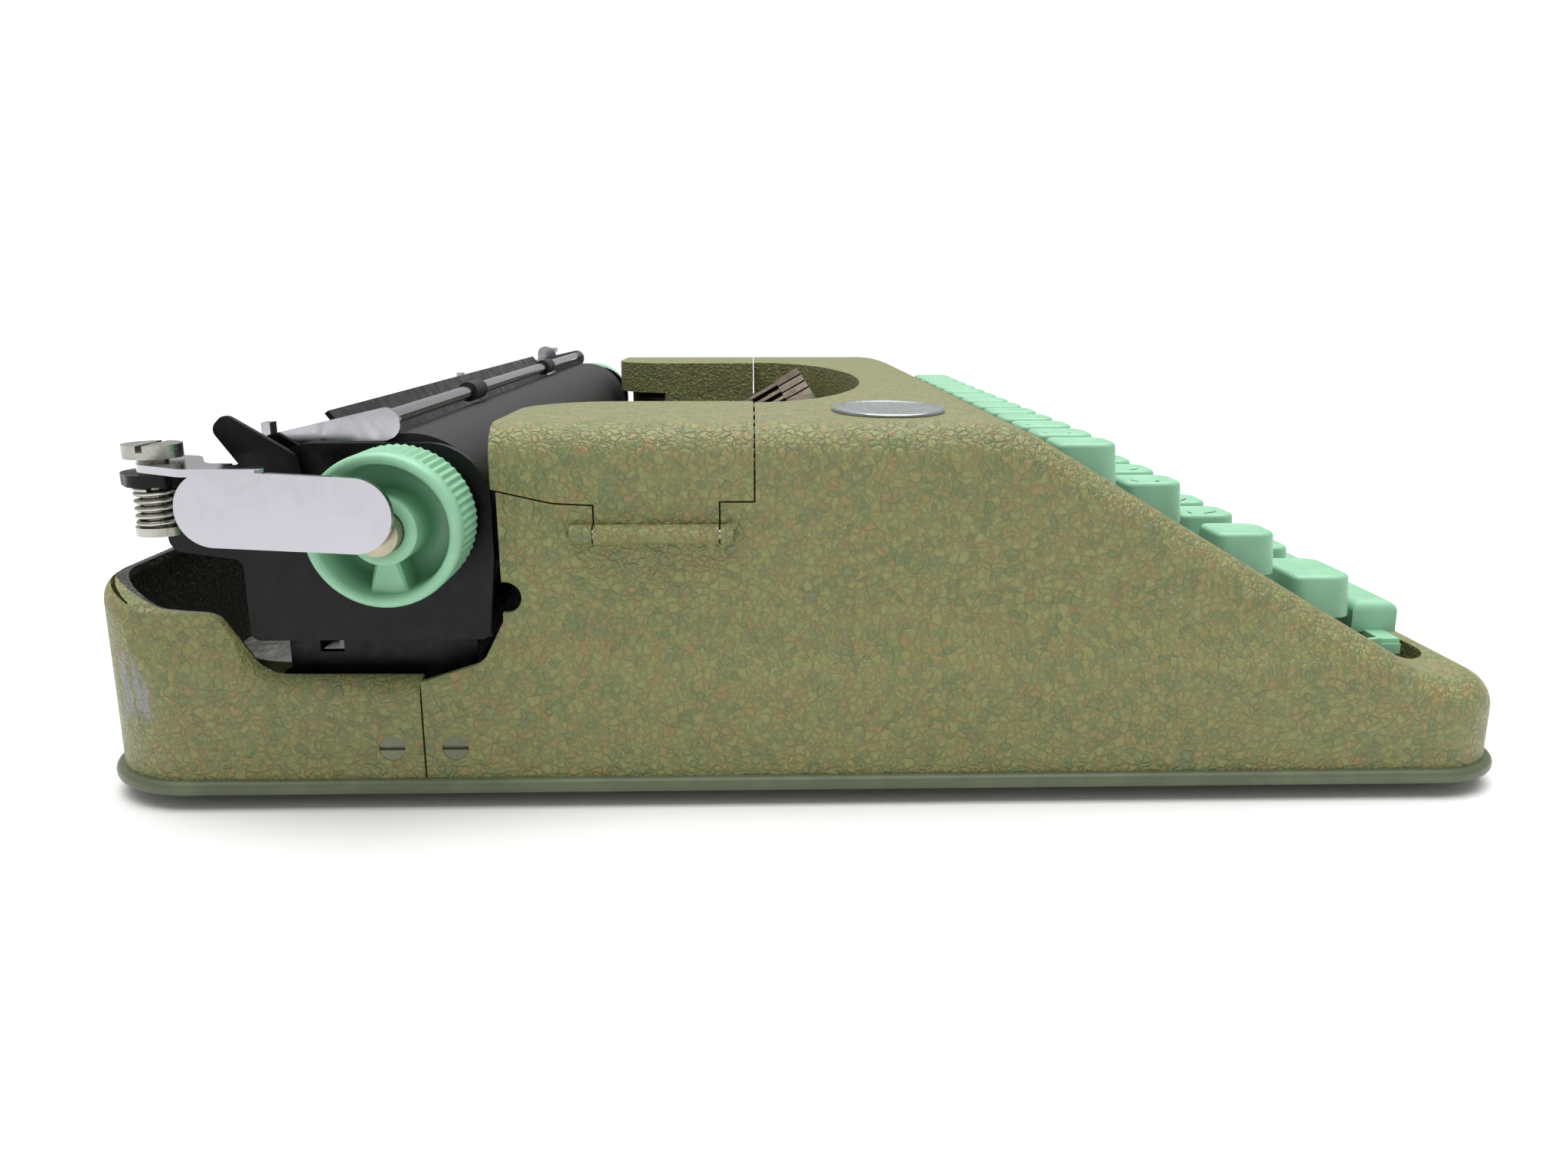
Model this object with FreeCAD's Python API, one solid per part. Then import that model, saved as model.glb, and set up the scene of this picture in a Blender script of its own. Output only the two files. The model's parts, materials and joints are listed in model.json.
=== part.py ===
"""Ultra-portable manual typewriter with pressed steel shells, built as separate working pieces.

Frame: +X to the typist's right, -Y towards the typist, +Z up. The origin lies on the table,
under the middle of the machine. Sizes are millimetres.
"""
import FreeCAD, Part
import math
import os

V = FreeCAD.Vector

# ---- Driving dimensions: the case ----
BODY_WIDTH = 280.0          # outside width over the skirt
BODY_LENGTH = 290.0         # outside length over the skirt, front to back
TOP_Z = 76.8                # flat top of the front shell and ribbon covers
FOOT_HEIGHT = 3.2
TRAY_HEIGHT = 3.1           # bead of the base tray
TRAY_RIM = 1.8              # bead stands out this far round the case
SHEET = 1.6                 # thickness of the pressed steel sheet
LIP_Z = 24.0                # height of the front lip
SLOPE_DEG = 30.6            # keyboard slope
SLOPE_BREAK_Y = -39.4       # where the slope would meet the flat top
RIDGE_Z = 27.0              # ridge along the sides, above the plain skirt
WAIST_INSET = 3.2           # how far the side wall is drawn in above the ridge
FRONT_CORNER_R = 15.0
REAR_CORNER_R = 20.0
EDGE_R = 7.0                # rounding of the top edges
SEAM_Y = 77.5               # joint between front and rear shell
SEAM_GAP = 0.4
REAR_WALL_Z = 49.4
REAR_RIM_R = 4.4            # rolled rim of the rear shell
REAR_SILL_Z = 27.0          # sill of the carriage cut-out in the sides

# ---- Driving dimensions: the openings in the case ----
KEY_OPENING_HALF = 122.6
KEY_OPENING_FRONT_Y = -137.0
KEY_OPENING_REAR_Y = -49.0
FAN_HALF_WIDTH = 88.0       # type basket opening
FAN_FRONT_Y = -20.0
COVER_FRONT_Y = 11.3        # seam between front shell and ribbon covers
COVER_TO_PLATEN = 1.5
COVER_INNER_X = 84.0
COVER_SIDE_Z = 62.0         # lower edge of a cover on the outside
COVER_GAP = 0.35
HINGE_Z = 55.6
HINGE_TAB_Y = (18.1, 42.3)
HINGE_PIN_R = 1.1

# ---- Driving dimensions: carriage and platen ----
PLATEN_Y = 79.0
PLATEN_R = 15.5
PLATEN_LIFT = 10.0          # underside of the platen above the carriage floor
PLATEN_HALF = 130.0
SHAFT_R = 4.0
KNOB_R = 14.4
KNOB_LENGTH = 16.0
END_PLATE = 2.0
CARRIAGE_FLOOR_Z = 33.5
LEVER_PIVOT = (-145.0, 121.5)
LEVER_PLATE_X = -158.5
LEVER_TILT_DEG = 3.0        # the lever's plate dips towards the typist
LEVER_PIN_R = 1.5           # pins of the small levers on the carriage ends
RUN_CLEARANCE = 0.05        # radial clearance of a running fit
GAP = 0.35                  # clearance between pieces that pass each other

# ---- Driving dimensions: keyboard and type action ----
KEY_PITCH = 18.4
ROW_PITCH = 17.9
ROW_DROP = 9.7
FIRST_ROW_Y = -59.4
FIRST_ROW_TOP_Z = 70.5
CAP_SIZE = 14.2
CAP_HEIGHT = 9.5
LEVER_THICK = 1.2
LEVER_HEIGHT = 4.0
LEVER_AXIS = (70.0, 11.5)   # key lever pivot, Y and Z
LEVER_SHAFT_R = 2.0
TYPEBAR_LENGTH = 56.0
TYPEBAR_COUNT = 45
TYPEBAR_FAN_DEG = 60.0
SEGMENT_TILT_DEG = 57.0     # segment plane below the horizontal
TYPEBAR_REST_DEG = 98.0     # swing from rest to the platen
ESCAPEMENT_R = 12.6

HALF_W = BODY_WIDTH / 2
HALF_L = BODY_LENGTH / 2
SHELL_Z = FOOT_HEIGHT + TRAY_HEIGHT
TRAY_FLOOR_Z = FOOT_HEIGHT + SHEET
PLATEN_Z = CARRIAGE_FLOOR_Z + PLATEN_LIFT + PLATEN_R
PLATEN_FRONT_Y = PLATEN_Y - PLATEN_R
COVER_REAR_Y = PLATEN_FRONT_Y - COVER_TO_PLATEN
ESCAPEMENT_Z = TRAY_FLOOR_Z + ESCAPEMENT_R + 0.2


# ---- Small geometry helpers ----
def rounded_wire(corners, place):
    """Closed wire through (a, b, radius) corners; place(a, b) maps the pair into space."""
    count = len(corners)
    ends = []
    for i, (a, b, radius) in enumerate(corners):
        pa, pb = corners[i - 1][:2]
        na, nb = corners[(i + 1) % count][:2]
        back = math.hypot(pa - a, pb - b)
        ahead = math.hypot(na - a, nb - b)
        u = ((pa - a) / back, (pb - b) / back)
        w = ((na - a) / ahead, (nb - b) / ahead)
        if radius == 0:
            ends.append(((a, b), None, (a, b)))
            continue
        half = math.acos(max(-1.0, min(1.0, u[0] * w[0] + u[1] * w[1]))) / 2
        reach = radius / math.tan(half)
        start = (a + u[0] * reach, b + u[1] * reach)
        stop = (a + w[0] * reach, b + w[1] * reach)
        bis = (u[0] + w[0], u[1] + w[1])
        size = math.hypot(*bis)
        depth = radius / math.sin(half) - radius
        middle = (a + bis[0] / size * depth, b + bis[1] / size * depth)
        ends.append((start, middle, stop))
    edges = []
    for i, (start, middle, stop) in enumerate(ends):
        if middle:
            edges.append(Part.Arc(place(*start), place(*middle), place(*stop)).toShape())
        following = ends[(i + 1) % count][0]
        if math.hypot(following[0] - stop[0], following[1] - stop[1]) > 1e-6:
            edges.append(Part.LineSegment(place(*stop), place(*following)).toShape())
    return Part.Wire(edges)


def slab_x(corners, x0, x1):
    """Outline in (Y, Z) made solid from x0 to x1."""
    wire = rounded_wire(corners, lambda a, b: V(x0, a, b))
    return Part.Face(wire).extrude(V(x1 - x0, 0, 0))


def slab_y(corners, y0, y1):
    """Outline in (X, Z) made solid from y0 to y1."""
    wire = rounded_wire(corners, lambda a, b: V(a, y0, b))
    return Part.Face(wire).extrude(V(0, y1 - y0, 0))


def slab_z(corners, z0, z1):
    """Outline in (X, Y) made solid from z0 to z1."""
    wire = rounded_wire(corners, lambda a, b: V(a, b, z0))
    return Part.Face(wire).extrude(V(0, 0, z1 - z0))


def box(x0, x1, y0, y1, z0, z1):
    return Part.makeBox(x1 - x0, y1 - y0, z1 - z0, V(x0, y0, z0))


def cyl_x(x0, x1, y, z, r):
    return Part.makeCylinder(r, x1 - x0, V(x0, y, z), V(1, 0, 0))


def cyl_y(y0, y1, x, z, r):
    return Part.makeCylinder(r, y1 - y0, V(x, y0, z), V(0, 1, 0))


def cyl_z(z0, z1, x, y, r):
    return Part.makeCylinder(r, z1 - z0, V(x, y, z0), V(0, 0, 1))


def mirrored(shape):
    return shape.mirror(V(0, 0, 0), V(1, 0, 0))


def fused(shapes):
    whole = shapes[0].fuse(shapes[1:]) if len(shapes) > 1 else shapes[0]
    return whole.removeSplitter()


def turned(area):
    """Twice the signed area of a corner list: positive when it runs counter-clockwise."""
    return sum(area[i - 1][0] * area[i][1] - area[i][0] * area[i - 1][1] for i in range(len(area)))


def inset_corners(corners, inset):
    """The same outline with every side moved inwards, radii following the convexity."""
    if inset == 0:
        return corners
    sign = 1 if turned(corners) > 0 else -1
    count = len(corners)
    moved = []
    for i, (a, b, radius) in enumerate(corners):
        p = corners[i - 1]
        n = corners[(i + 1) % count]
        u = (a - p[0], b - p[1])
        w = (n[0] - a, n[1] - b)
        lu, lw = math.hypot(*u), math.hypot(*w)
        u = (u[0] / lu, u[1] / lu)
        w = (w[0] / lw, w[1] / lw)
        nu = (-u[1] * sign, u[0] * sign)
        nw = (-w[1] * sign, w[0] * sign)
        turn = (u[0] * w[1] - u[1] * w[0]) * sign
        share = inset / (1 + nu[0] * nw[0] + nu[1] * nw[1])
        new_radius = 0 if radius == 0 else radius + (-inset if turn > 0 else inset)
        moved.append((a + (nu[0] + nw[0]) * share, b + (nu[1] + nw[1]) * share, new_radius))
    return moved


NODES = {}


def keep(name, *solids):
    NODES[name] = list(solids)


# ---- The case form ----
def side_section(inset):
    """Half section of the side walls, as (X, Z) corners running up the right side."""
    wall_x = HALF_W - WAIST_INSET
    right = [
        (HALF_W, SHELL_Z - 10, 0),
        (HALF_W, RIDGE_Z, 9.0),
        (wall_x, RIDGE_Z + 9.0, 26.0),
        (HALF_W - 1.6, TOP_Z + 10, 0),
    ]
    left = [(-a, b, r) for a, b, r in reversed(right)]
    return inset_corners(right + left, inset)


def front_profile(inset):
    """Side view of the front shell, as (Y, Z) corners."""
    slope = math.tan(math.radians(SLOPE_DEG))
    lip_end_y = SLOPE_BREAK_Y - (TOP_Z - LIP_Z) / slope
    far_y = HALF_L - 40
    corners = [
        (-HALF_L, SHELL_Z - 10, 0),
        (-HALF_L, LIP_Z, 0),
        (lip_end_y, LIP_Z, 18.0),
        (SLOPE_BREAK_Y, TOP_Z, 30.0),
        (far_y, TOP_Z, 0),
        (far_y, SHELL_Z - 10, 0),
    ]
    return inset_corners(corners, inset)


def sharp_edges(solid, chosen):
    """Edges whose middle satisfies chosen(x, y, z) and whose two faces meet at a clear angle."""
    found = []
    for edge in solid.Edges:
        faces = solid.ancestorsOfType(edge, Part.Face)
        if len(faces) != 2:
            continue
        middle = edge.valueAt((edge.FirstParameter + edge.LastParameter) / 2)
        if not chosen(middle.x, middle.y, middle.z):
            continue
        normals = []
        for face in faces:
            u, v = face.Surface.parameter(middle)
            normals.append(face.normalAt(u, v))
        if abs(normals[0].dot(normals[1])) < 0.9:
            found.append(edge)
    return found


def front_form(inset):
    """Solid outer form of the front shell and covers; a positive inset gives its inside."""
    form = slab_x(front_profile(inset), -HALF_W - 5, HALF_W + 5)
    form = form.common(slab_y(side_section(inset), -HALF_L - 5, HALF_L + 5))
    corner_x = HALF_W - inset
    corner_y = -HALF_L + inset
    upright = sharp_edges(
        form, lambda x, y, z: abs(abs(x) - corner_x) < 0.1 and abs(y - corner_y) < 0.1)
    form = form.makeFillet(FRONT_CORNER_R - inset, upright)
    far_y = HALF_L - 40 - inset
    rim = sharp_edges(form, lambda x, y, z: z > LIP_Z - 3 and y < far_y - 0.5)
    return form.makeFillet(EDGE_R - inset, rim)


def opening_outline(half, front_y, rear_y, front_r, rear_r):
    return [(-half, front_y, front_r), (half, front_y, front_r),
            (half, rear_y, rear_r), (-half, rear_y, rear_r)]


def fan_prism(grow, z0, z1):
    """Type basket opening: half an ellipse in front, straight sides back past the covers."""
    half = FAN_HALF_WIDTH + grow
    depth = COVER_FRONT_Y + 1 - FAN_FRONT_Y + grow
    arc = Part.Arc(Part.Ellipse(V(0, COVER_FRONT_Y + 1, z0), half, depth), math.pi, 2 * math.pi)
    back_y = HALF_L
    left = V(-half, COVER_FRONT_Y + 1, z0)
    right = V(half, COVER_FRONT_Y + 1, z0)
    lines = [Part.LineSegment(right, V(half, back_y, z0)).toShape(),
             Part.LineSegment(V(half, back_y, z0), V(-half, back_y, z0)).toShape(),
             Part.LineSegment(V(-half, back_y, z0), left).toShape()]
    return Part.Face(Part.Wire([arc.toShape()] + lines)).extrude(V(0, 0, z1 - z0))


def rim_wall(outer, wide, narrow, depth):
    """Wall turned down round an opening, following the surface above it."""
    lowered = outer.translated(V(0, 0, -depth))
    return wide.cut(narrow).common(outer).cut(lowered)


def cover_region(grow):
    """Plan area of the left ribbon cover as a tall solid."""
    x_in = -COVER_INNER_X + grow
    x_out = -HALF_W - 8
    y0 = COVER_FRONT_Y - grow
    y1 = COVER_REAR_Y + grow
    corners = [(x_out, y0, 0), (x_in, y0, 0), (x_in, y1, 20.0 + grow), (x_out, y1, 0)]
    return slab_z(corners, 0, TOP_Z + 10)


def side_below_cover(raise_by):
    """Everything under the lower edge of the covers at the side wall."""
    rear_edge = COVER_SIDE_Z + 3.6 + raise_by
    front_edge = COVER_SIDE_Z + raise_by
    tab0, tab1 = HINGE_TAB_Y
    grow = raise_by
    corners = [
        (COVER_FRONT_Y - 5, -5, 0),
        (COVER_FRONT_Y - 5, front_edge, 0),
        (tab0 + grow, front_edge, 0),
        (tab0 + grow, HINGE_Z, 0),
        (tab1 - grow, HINGE_Z, 0),
        (tab1 - grow, front_edge - 0.6, 0),
        (tab1 + 8, front_edge - 0.2, 12.0),
        (COVER_REAR_Y + 5, rear_edge, 0),
        (COVER_REAR_Y + 5, -5, 0),
    ]
    return slab_x(corners, -HALF_W - 6, -HALF_W + 14)


def carriage_cutout():
    """Side view of the space that the carriage takes out of the front shell."""
    rear = HALF_L
    front = COVER_REAR_Y - 1
    corners = [
        (front, TOP_Z + 20, 0),
        (front, REAR_SILL_Z + 11, 2.0),
        (front + 4, REAR_SILL_Z + 3, 4.0),
        (front + 16, REAR_SILL_Z - 0.5, 4.0),
        (rear, REAR_SILL_Z - 0.5, 0),
        (rear, TOP_Z + 20, 0),
    ]
    notch = cyl_x(-HALF_W - 10, HALF_W + 10, front - 0.6, REAR_SILL_Z + 15.8, 3.2)
    return slab_x(corners, -HALF_W - 10, HALF_W + 10).fuse(notch)


def hinge_knuckles(y_spans, grow):
    """Rolled knuckles round the left hinge pin line."""
    rolls = []
    for y0, y1 in y_spans:
        rolls.append(cyl_y(y0, y1, -hinge_x(), HINGE_Z, HINGE_PIN_R + grow))
    return rolls


def hinge_x():
    return HALF_W - WAIST_INSET + 1.5


def shell_screw_places():
    """(side, Y, Z) of the four slotted screws that hold the shells to the tray."""
    return [(side, y, 12.6) for side in (-1, 1) for y in (SEAM_Y - 6.2, SEAM_Y + 6.4)]


def screw_holes():
    holes = []
    for side, y, z in shell_screw_places():
        x0 = side * (HALF_W + 1)
        x1 = side * (HALF_W - 4)
        holes.append(cyl_x(min(x0, x1), max(x0, x1), y, z, 2.6))
    return holes


def front_shell(outer, inner):
    shell = outer.cut(inner)
    keys = opening_outline(KEY_OPENING_HALF, KEY_OPENING_FRONT_Y, KEY_OPENING_REAR_Y, 10, 9)
    wide_keys = inset_corners(keys, -SHEET)
    key_hole = slab_z(keys, 0, TOP_Z + 5)
    shell = shell.fuse(rim_wall(outer, slab_z(wide_keys, 0, TOP_Z + 5), key_hole, 7.0))
    shell = shell.fuse(rim_wall(outer, fan_prism(SHEET, 30, TOP_Z + 5),
                                fan_prism(0, 29, TOP_Z + 6), 12.0))
    shell = shell.cut([key_hole, fan_prism(0, 29, TOP_Z + 6)])
    upper = box(-HALF_W - 5, HALF_W + 5, COVER_FRONT_Y - COVER_GAP, HALF_L, TOP_Z - 30, TOP_Z + 9)
    side = side_below_cover(-COVER_GAP)
    upper = upper.cut([side, mirrored(side)])
    below = box(-HALF_W - 5, HALF_W + 5, -HALF_L - 1, HALF_L, -20, SHELL_Z)
    behind = box(-HALF_W - 5, HALF_W + 5, SEAM_Y - SEAM_GAP / 2, HALF_L, 0, TOP_Z + 20)
    shell = shell.cut([upper, below, behind, carriage_cutout()])
    y0, y1 = HINGE_TAB_Y
    pin0, pin1 = y0 - 2.8, y1 + 4.6
    knuckles = hinge_knuckles([(pin0, y0 - COVER_GAP), (y1 + COVER_GAP, pin1)], 0.9)
    pocket = hinge_knuckles([(y0 - COVER_GAP, y1 + COVER_GAP)], 0.9 + GAP)
    bore = hinge_knuckles([(pin0 - 1, pin1 + 1)], 0)
    for make in (lambda s: s, mirrored):
        shell = shell.fuse([make(k) for k in knuckles])
        shell = shell.cut([make(k) for k in pocket + bore])
    shell = shell.cut(screw_holes())
    keep("front_shell", *shell.Solids)


def ribbon_covers(outer, inner):
    region = cover_region(0)
    hollow = inner.common(cover_region(-SHEET).fuse(
        box(-HALF_W, -COVER_INNER_X - SHEET, COVER_FRONT_Y - 1, COVER_FRONT_Y + 30, 0, TOP_Z)))
    cover = outer.common(region).cut(hollow)
    deep_wall = box(-HALF_W + 10, -COVER_INNER_X + 5, 0, 44, -20, 54)
    ribbon_way = box(-HALF_W + 10, -COVER_INNER_X + 5, 44, HALF_L, -20, 66)
    cover = cover.cut([side_below_cover(0), deep_wall, ribbon_way])
    y0, y1 = HINGE_TAB_Y
    roll = hinge_knuckles([(y0, y1)], 0.9)[0]
    bore = hinge_knuckles([(y0 - 1, y1 + 1)], RUN_CLEARANCE)[0]
    cover = max(cover.Solids, key=lambda s: s.Volume)
    cover = cover.fuse(roll).cut(bore)
    cover = max(cover.Solids, key=lambda s: s.Volume)
    keep("ribbon_cover_left", cover)
    keep("ribbon_cover_right", mirrored(cover))
    pin = hinge_knuckles([(y0 - 2.8, y1 + 4.6)], 0)[0]
    keep("cover_hinge_pins", pin, mirrored(pin))


def rear_profile(inset):
    """Side view of the rear shell with its curved side rim."""
    corners = [
        (SEAM_Y - 30, SHELL_Z - 10, 0),
        (SEAM_Y - 30, REAR_SILL_Z - 0.5, 0),
        (109.0, REAR_SILL_Z, 8.0),
        (117.0, REAR_SILL_Z + 12.6, 4.5),
        (129.0, REAR_SILL_Z + 13.6, 10.0),
        (HALF_L + 1, REAR_WALL_Z, 0),
        (HALF_L + 1, SHELL_Z - 10, 0),
    ]
    return inset_corners(corners, inset)


def rear_plan(inset):
    x = HALF_W - inset
    y = HALF_L - inset
    return [(-x, SEAM_Y - 30, 0), (x, SEAM_Y - 30, 0), (x, y, REAR_CORNER_R - inset),
            (-x, y, REAR_CORNER_R - inset)]


def rear_shell():
    section = slab_y(side_section(0), 0, HALF_L + 5)
    outer = slab_z(rear_plan(0), -5, REAR_WALL_Z + 20)
    outer = outer.common(slab_x(rear_profile(0), -HALF_W - 5, HALF_W + 5))
    top_edges = sharp_edges(outer, lambda x, y, z: z > REAR_SILL_Z - 2 and y > SEAM_Y - 29)
    outer = outer.makeFillet(REAR_RIM_R, top_edges).common(section)
    lowered = slab_x(rear_profile(SHEET), -HALF_W - 5, HALF_W + 5)
    inner = slab_z(rear_plan(SHEET), -10, REAR_WALL_Z + 20).common(lowered)
    inner = inner.common(slab_y(side_section(SHEET), 0, HALF_L + 5))
    mouth = slab_z(rear_plan(5.0), SHELL_Z - 1, REAR_WALL_Z + 20)
    seam = box(-HALF_W - 5, HALF_W + 5, 0, SEAM_Y + SEAM_GAP / 2, -20, TOP_Z)
    below = box(-HALF_W - 5, HALF_W + 5, 0, HALF_L + 5, -20, SHELL_Z)
    shell = outer.cut([inner, mouth, seam, below] + screw_holes())
    keep("rear_shell", *shell.Solids)


def name_plate():
    """Blank oval plate let into the left of the top."""
    centre = V(-109.0, -17.5, TOP_Z)
    face = Part.Face(Part.Wire(Part.Ellipse(centre, 17.5, 12.0).toShape()))
    keep("name_plate", face.extrude(V(0, 0, 0.8)))


def shell_screws():
    screws = []
    for side, y, z in shell_screw_places():
        tip = side * (HALF_W - 3.4)
        head = side * (HALF_W - 0.1)
        screw = cyl_x(min(tip, head), max(tip, head), y, z, 2.55)
        slot_x = sorted((side * (HALF_W - 0.9), side * (HALF_W + 1)))
        screws.append(screw.cut(box(slot_x[0], slot_x[1], y - 3, y + 3, z - 0.4, z + 0.4)))
    keep("shell_screws", *screws)


def base_tray():
    corners = [(-HALF_W, -HALF_L, FRONT_CORNER_R), (HALF_W, -HALF_L, FRONT_CORNER_R),
               (HALF_W, HALF_L, REAR_CORNER_R), (-HALF_W, HALF_L, REAR_CORNER_R)]
    wide = slab_z(inset_corners(corners, -TRAY_RIM), FOOT_HEIGHT, SHELL_Z)
    rounded = [e for e in wide.Edges if abs(e.BoundBox.ZMax - e.BoundBox.ZMin) < 0.01]
    wide = wide.makeFillet(1.4, rounded)
    recess = slab_z(inset_corners(corners, 3.0), TRAY_FLOOR_Z, SHELL_Z + 1)
    keep("base_plate", wide.cut(recess))
    feet = []
    for x in (-HALF_W + 24, HALF_W - 24):
        for y in (-HALF_L + 24, HALF_L - 24):
            feet.append(Part.makeCone(8.0, 9.0, FOOT_HEIGHT, V(x, y, 0)))
    keep("rubber_feet", *feet)


# ---- Chassis inside the case ----
DRUM_PLACE = (-92.0, 112.0)
BELL_PLACE = (92.0, 112.0)
SPOOL_PLACE = (112.0, 37.0)
SPOOL_R = 19.5
FRAME_X = 124.0


def main_frame():
    side = slab_x([(-132, TRAY_FLOOR_Z, 0), (110, TRAY_FLOOR_Z, 0), (110, 25.5, 3),
                   (58, 25.5, 4), (56, 42, 3), (-72, 42, 6), (-124, 14, 4), (-132, 14, 0)],
                  FRAME_X, FRAME_X + 2)
    pieces = [side, mirrored(side)]
    pieces.append(box(-FRAME_X, FRAME_X, 84, 91, TRAY_FLOOR_Z, TRAY_FLOOR_Z + 2))
    pieces.append(box(-FRAME_X, FRAME_X, -132, -130, TRAY_FLOOR_Z, 12))
    pieces.append(box(-FRAME_X, FRAME_X, 26, 50, 14.6, 16.4))
    x, y = SPOOL_PLACE
    for sign in (-1, 1):
        cup = cyl_z(45.0, 49.0, sign * x, y, 21.0).cut(cyl_z(46.2, 50, sign * x, y, 20.2))
        stem = box(sign * x - 7, sign * x + 7, y - 4, y + 4, 16, 45.2)
        arm = box(min(sign * (x - 7), sign * FRAME_X), max(sign * (x - 7), sign * FRAME_X),
                  y - 4, y + 4, 16, 18)
        pin = cyl_z(45.5, 65.0, sign * x, y, 2.0)
        pieces.extend([cup, stem, arm, pin])
    for place in (DRUM_PLACE, BELL_PLACE):
        pieces.append(cyl_z(TRAY_FLOOR_Z, 24.0, place[0], place[1], 2.5))
        pieces.append(cyl_z(TRAY_FLOOR_Z, 7.4, place[0], place[1], 6.0))
        pieces.append(box(place[0] - 6, place[0] + 6, 84, place[1], TRAY_FLOOR_Z, TRAY_FLOOR_Z + 2))
    pieces.append(cyl_y(90, 104.5, 0, ESCAPEMENT_Z, 2.0))
    pieces.append(box(-6, 6, 88, 91, TRAY_FLOOR_Z, 22))
    keep("main_frame", fused(pieces))


def mainspring_drum():
    x, y = DRUM_PLACE
    drum = cyl_z(8.0, 22.0, x, y, 19.0).cut(cyl_z(11.0, 19.0, x, y, 30).cut(
        cyl_z(10.0, 20.0, x, y, 17.6)))
    keep("mainspring_drum", drum.cut(cyl_z(7, 23, x, y, 2.5 + RUN_CLEARANCE)))


def escapement_wheel():
    blank = cyl_y(96.0, 99.0, 0, ESCAPEMENT_Z, ESCAPEMENT_R)
    rim_z = ESCAPEMENT_Z + ESCAPEMENT_R
    teeth = 24
    notches = []
    for i in range(teeth):
        turn = 360.0 / teeth * i
        notch = box(-0.7, 0.7, 95.5, 99.5, rim_z - 1.8, rim_z + 1.4)
        notches.append(notch.rotate(V(0, 0, ESCAPEMENT_Z), V(0, 1, 0), turn))
    wheel = blank.cut(notches).cut(cyl_y(95, 100, 0, ESCAPEMENT_Z, 2.0 + RUN_CLEARANCE))
    keep("escapement_wheel", wheel)


def bell():
    x, y = BELL_PLACE
    cup = cyl_z(8.0, 22.0, x, y, 17.0)
    top = [e for e in cup.Edges if abs(e.CenterOfMass.z - 22.0) < 0.01]
    cup = cup.makeFillet(8.0, top)
    hollow = cyl_z(7.0, 20.6, x, y, 15.6)
    inner_top = [e for e in hollow.Edges if abs(e.CenterOfMass.z - 20.6) < 0.01]
    hollow = hollow.makeFillet(6.8, inner_top)
    keep("bell", cup.cut(hollow).cut(cyl_z(5, 25, x, y, 2.5)))


# ---- Type action: segment, typebars, comb, vibrator, ribbon ----
def strike_frame():
    """Strike point and the two directions of the segment plane: down-forward and normal."""
    tilt = math.radians(SEGMENT_TILT_DEG)
    down = V(0, -math.cos(tilt), -math.sin(tilt))
    normal = V(0, -math.sin(tilt), math.cos(tilt))
    point = V(0, PLATEN_Y, PLATEN_Z) + normal * (PLATEN_R + 3.5)
    return point, down, normal


def into_segment(shape, theta_deg):
    """Moves a piece drawn with its strike direction along -X and normal +Z to one fan place.

    In the drawing, the pivot is at (TYPEBAR_LENGTH, 0, 0) and the strike point at the origin.
    """
    point, down, normal = strike_frame()
    theta = math.radians(theta_deg)
    radial = down * math.cos(theta) + V(1, 0, 0) * math.sin(theta)
    side = normal.cross(radial)
    matrix = FreeCAD.Matrix(radial.x, side.x, normal.x, point.x,
                            radial.y, side.y, normal.y, point.y,
                            radial.z, side.z, normal.z, point.z,
                            0, 0, 0, 1)
    placed = shape.copy()
    placed.Placement = FreeCAD.Placement(matrix).multiply(shape.Placement)
    return placed


def typebar_at_rest():
    """One typebar swung down into the basket, drawn in the flat fan frame."""
    half = LEVER_THICK / 2
    pivot = TYPEBAR_LENGTH
    bar = box(2.0, pivot, -half, half, -1.5, 1.5)
    eye = Part.makeCylinder(1.5, LEVER_THICK, V(pivot, -half, 0), V(0, 1, 0))
    head = box(-4.5, 4.5, -1.2, 1.2, -1.8, 0.9)
    bar = fused([bar, eye, head])
    bar.rotate(V(pivot, 0, 0), V(0, 1, 0), TYPEBAR_REST_DEG)
    return bar


def fan_angles():
    step = 2 * TYPEBAR_FAN_DEG / (TYPEBAR_COUNT - 1)
    return [-TYPEBAR_FAN_DEG + step * i for i in range(TYPEBAR_COUNT)]


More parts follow.
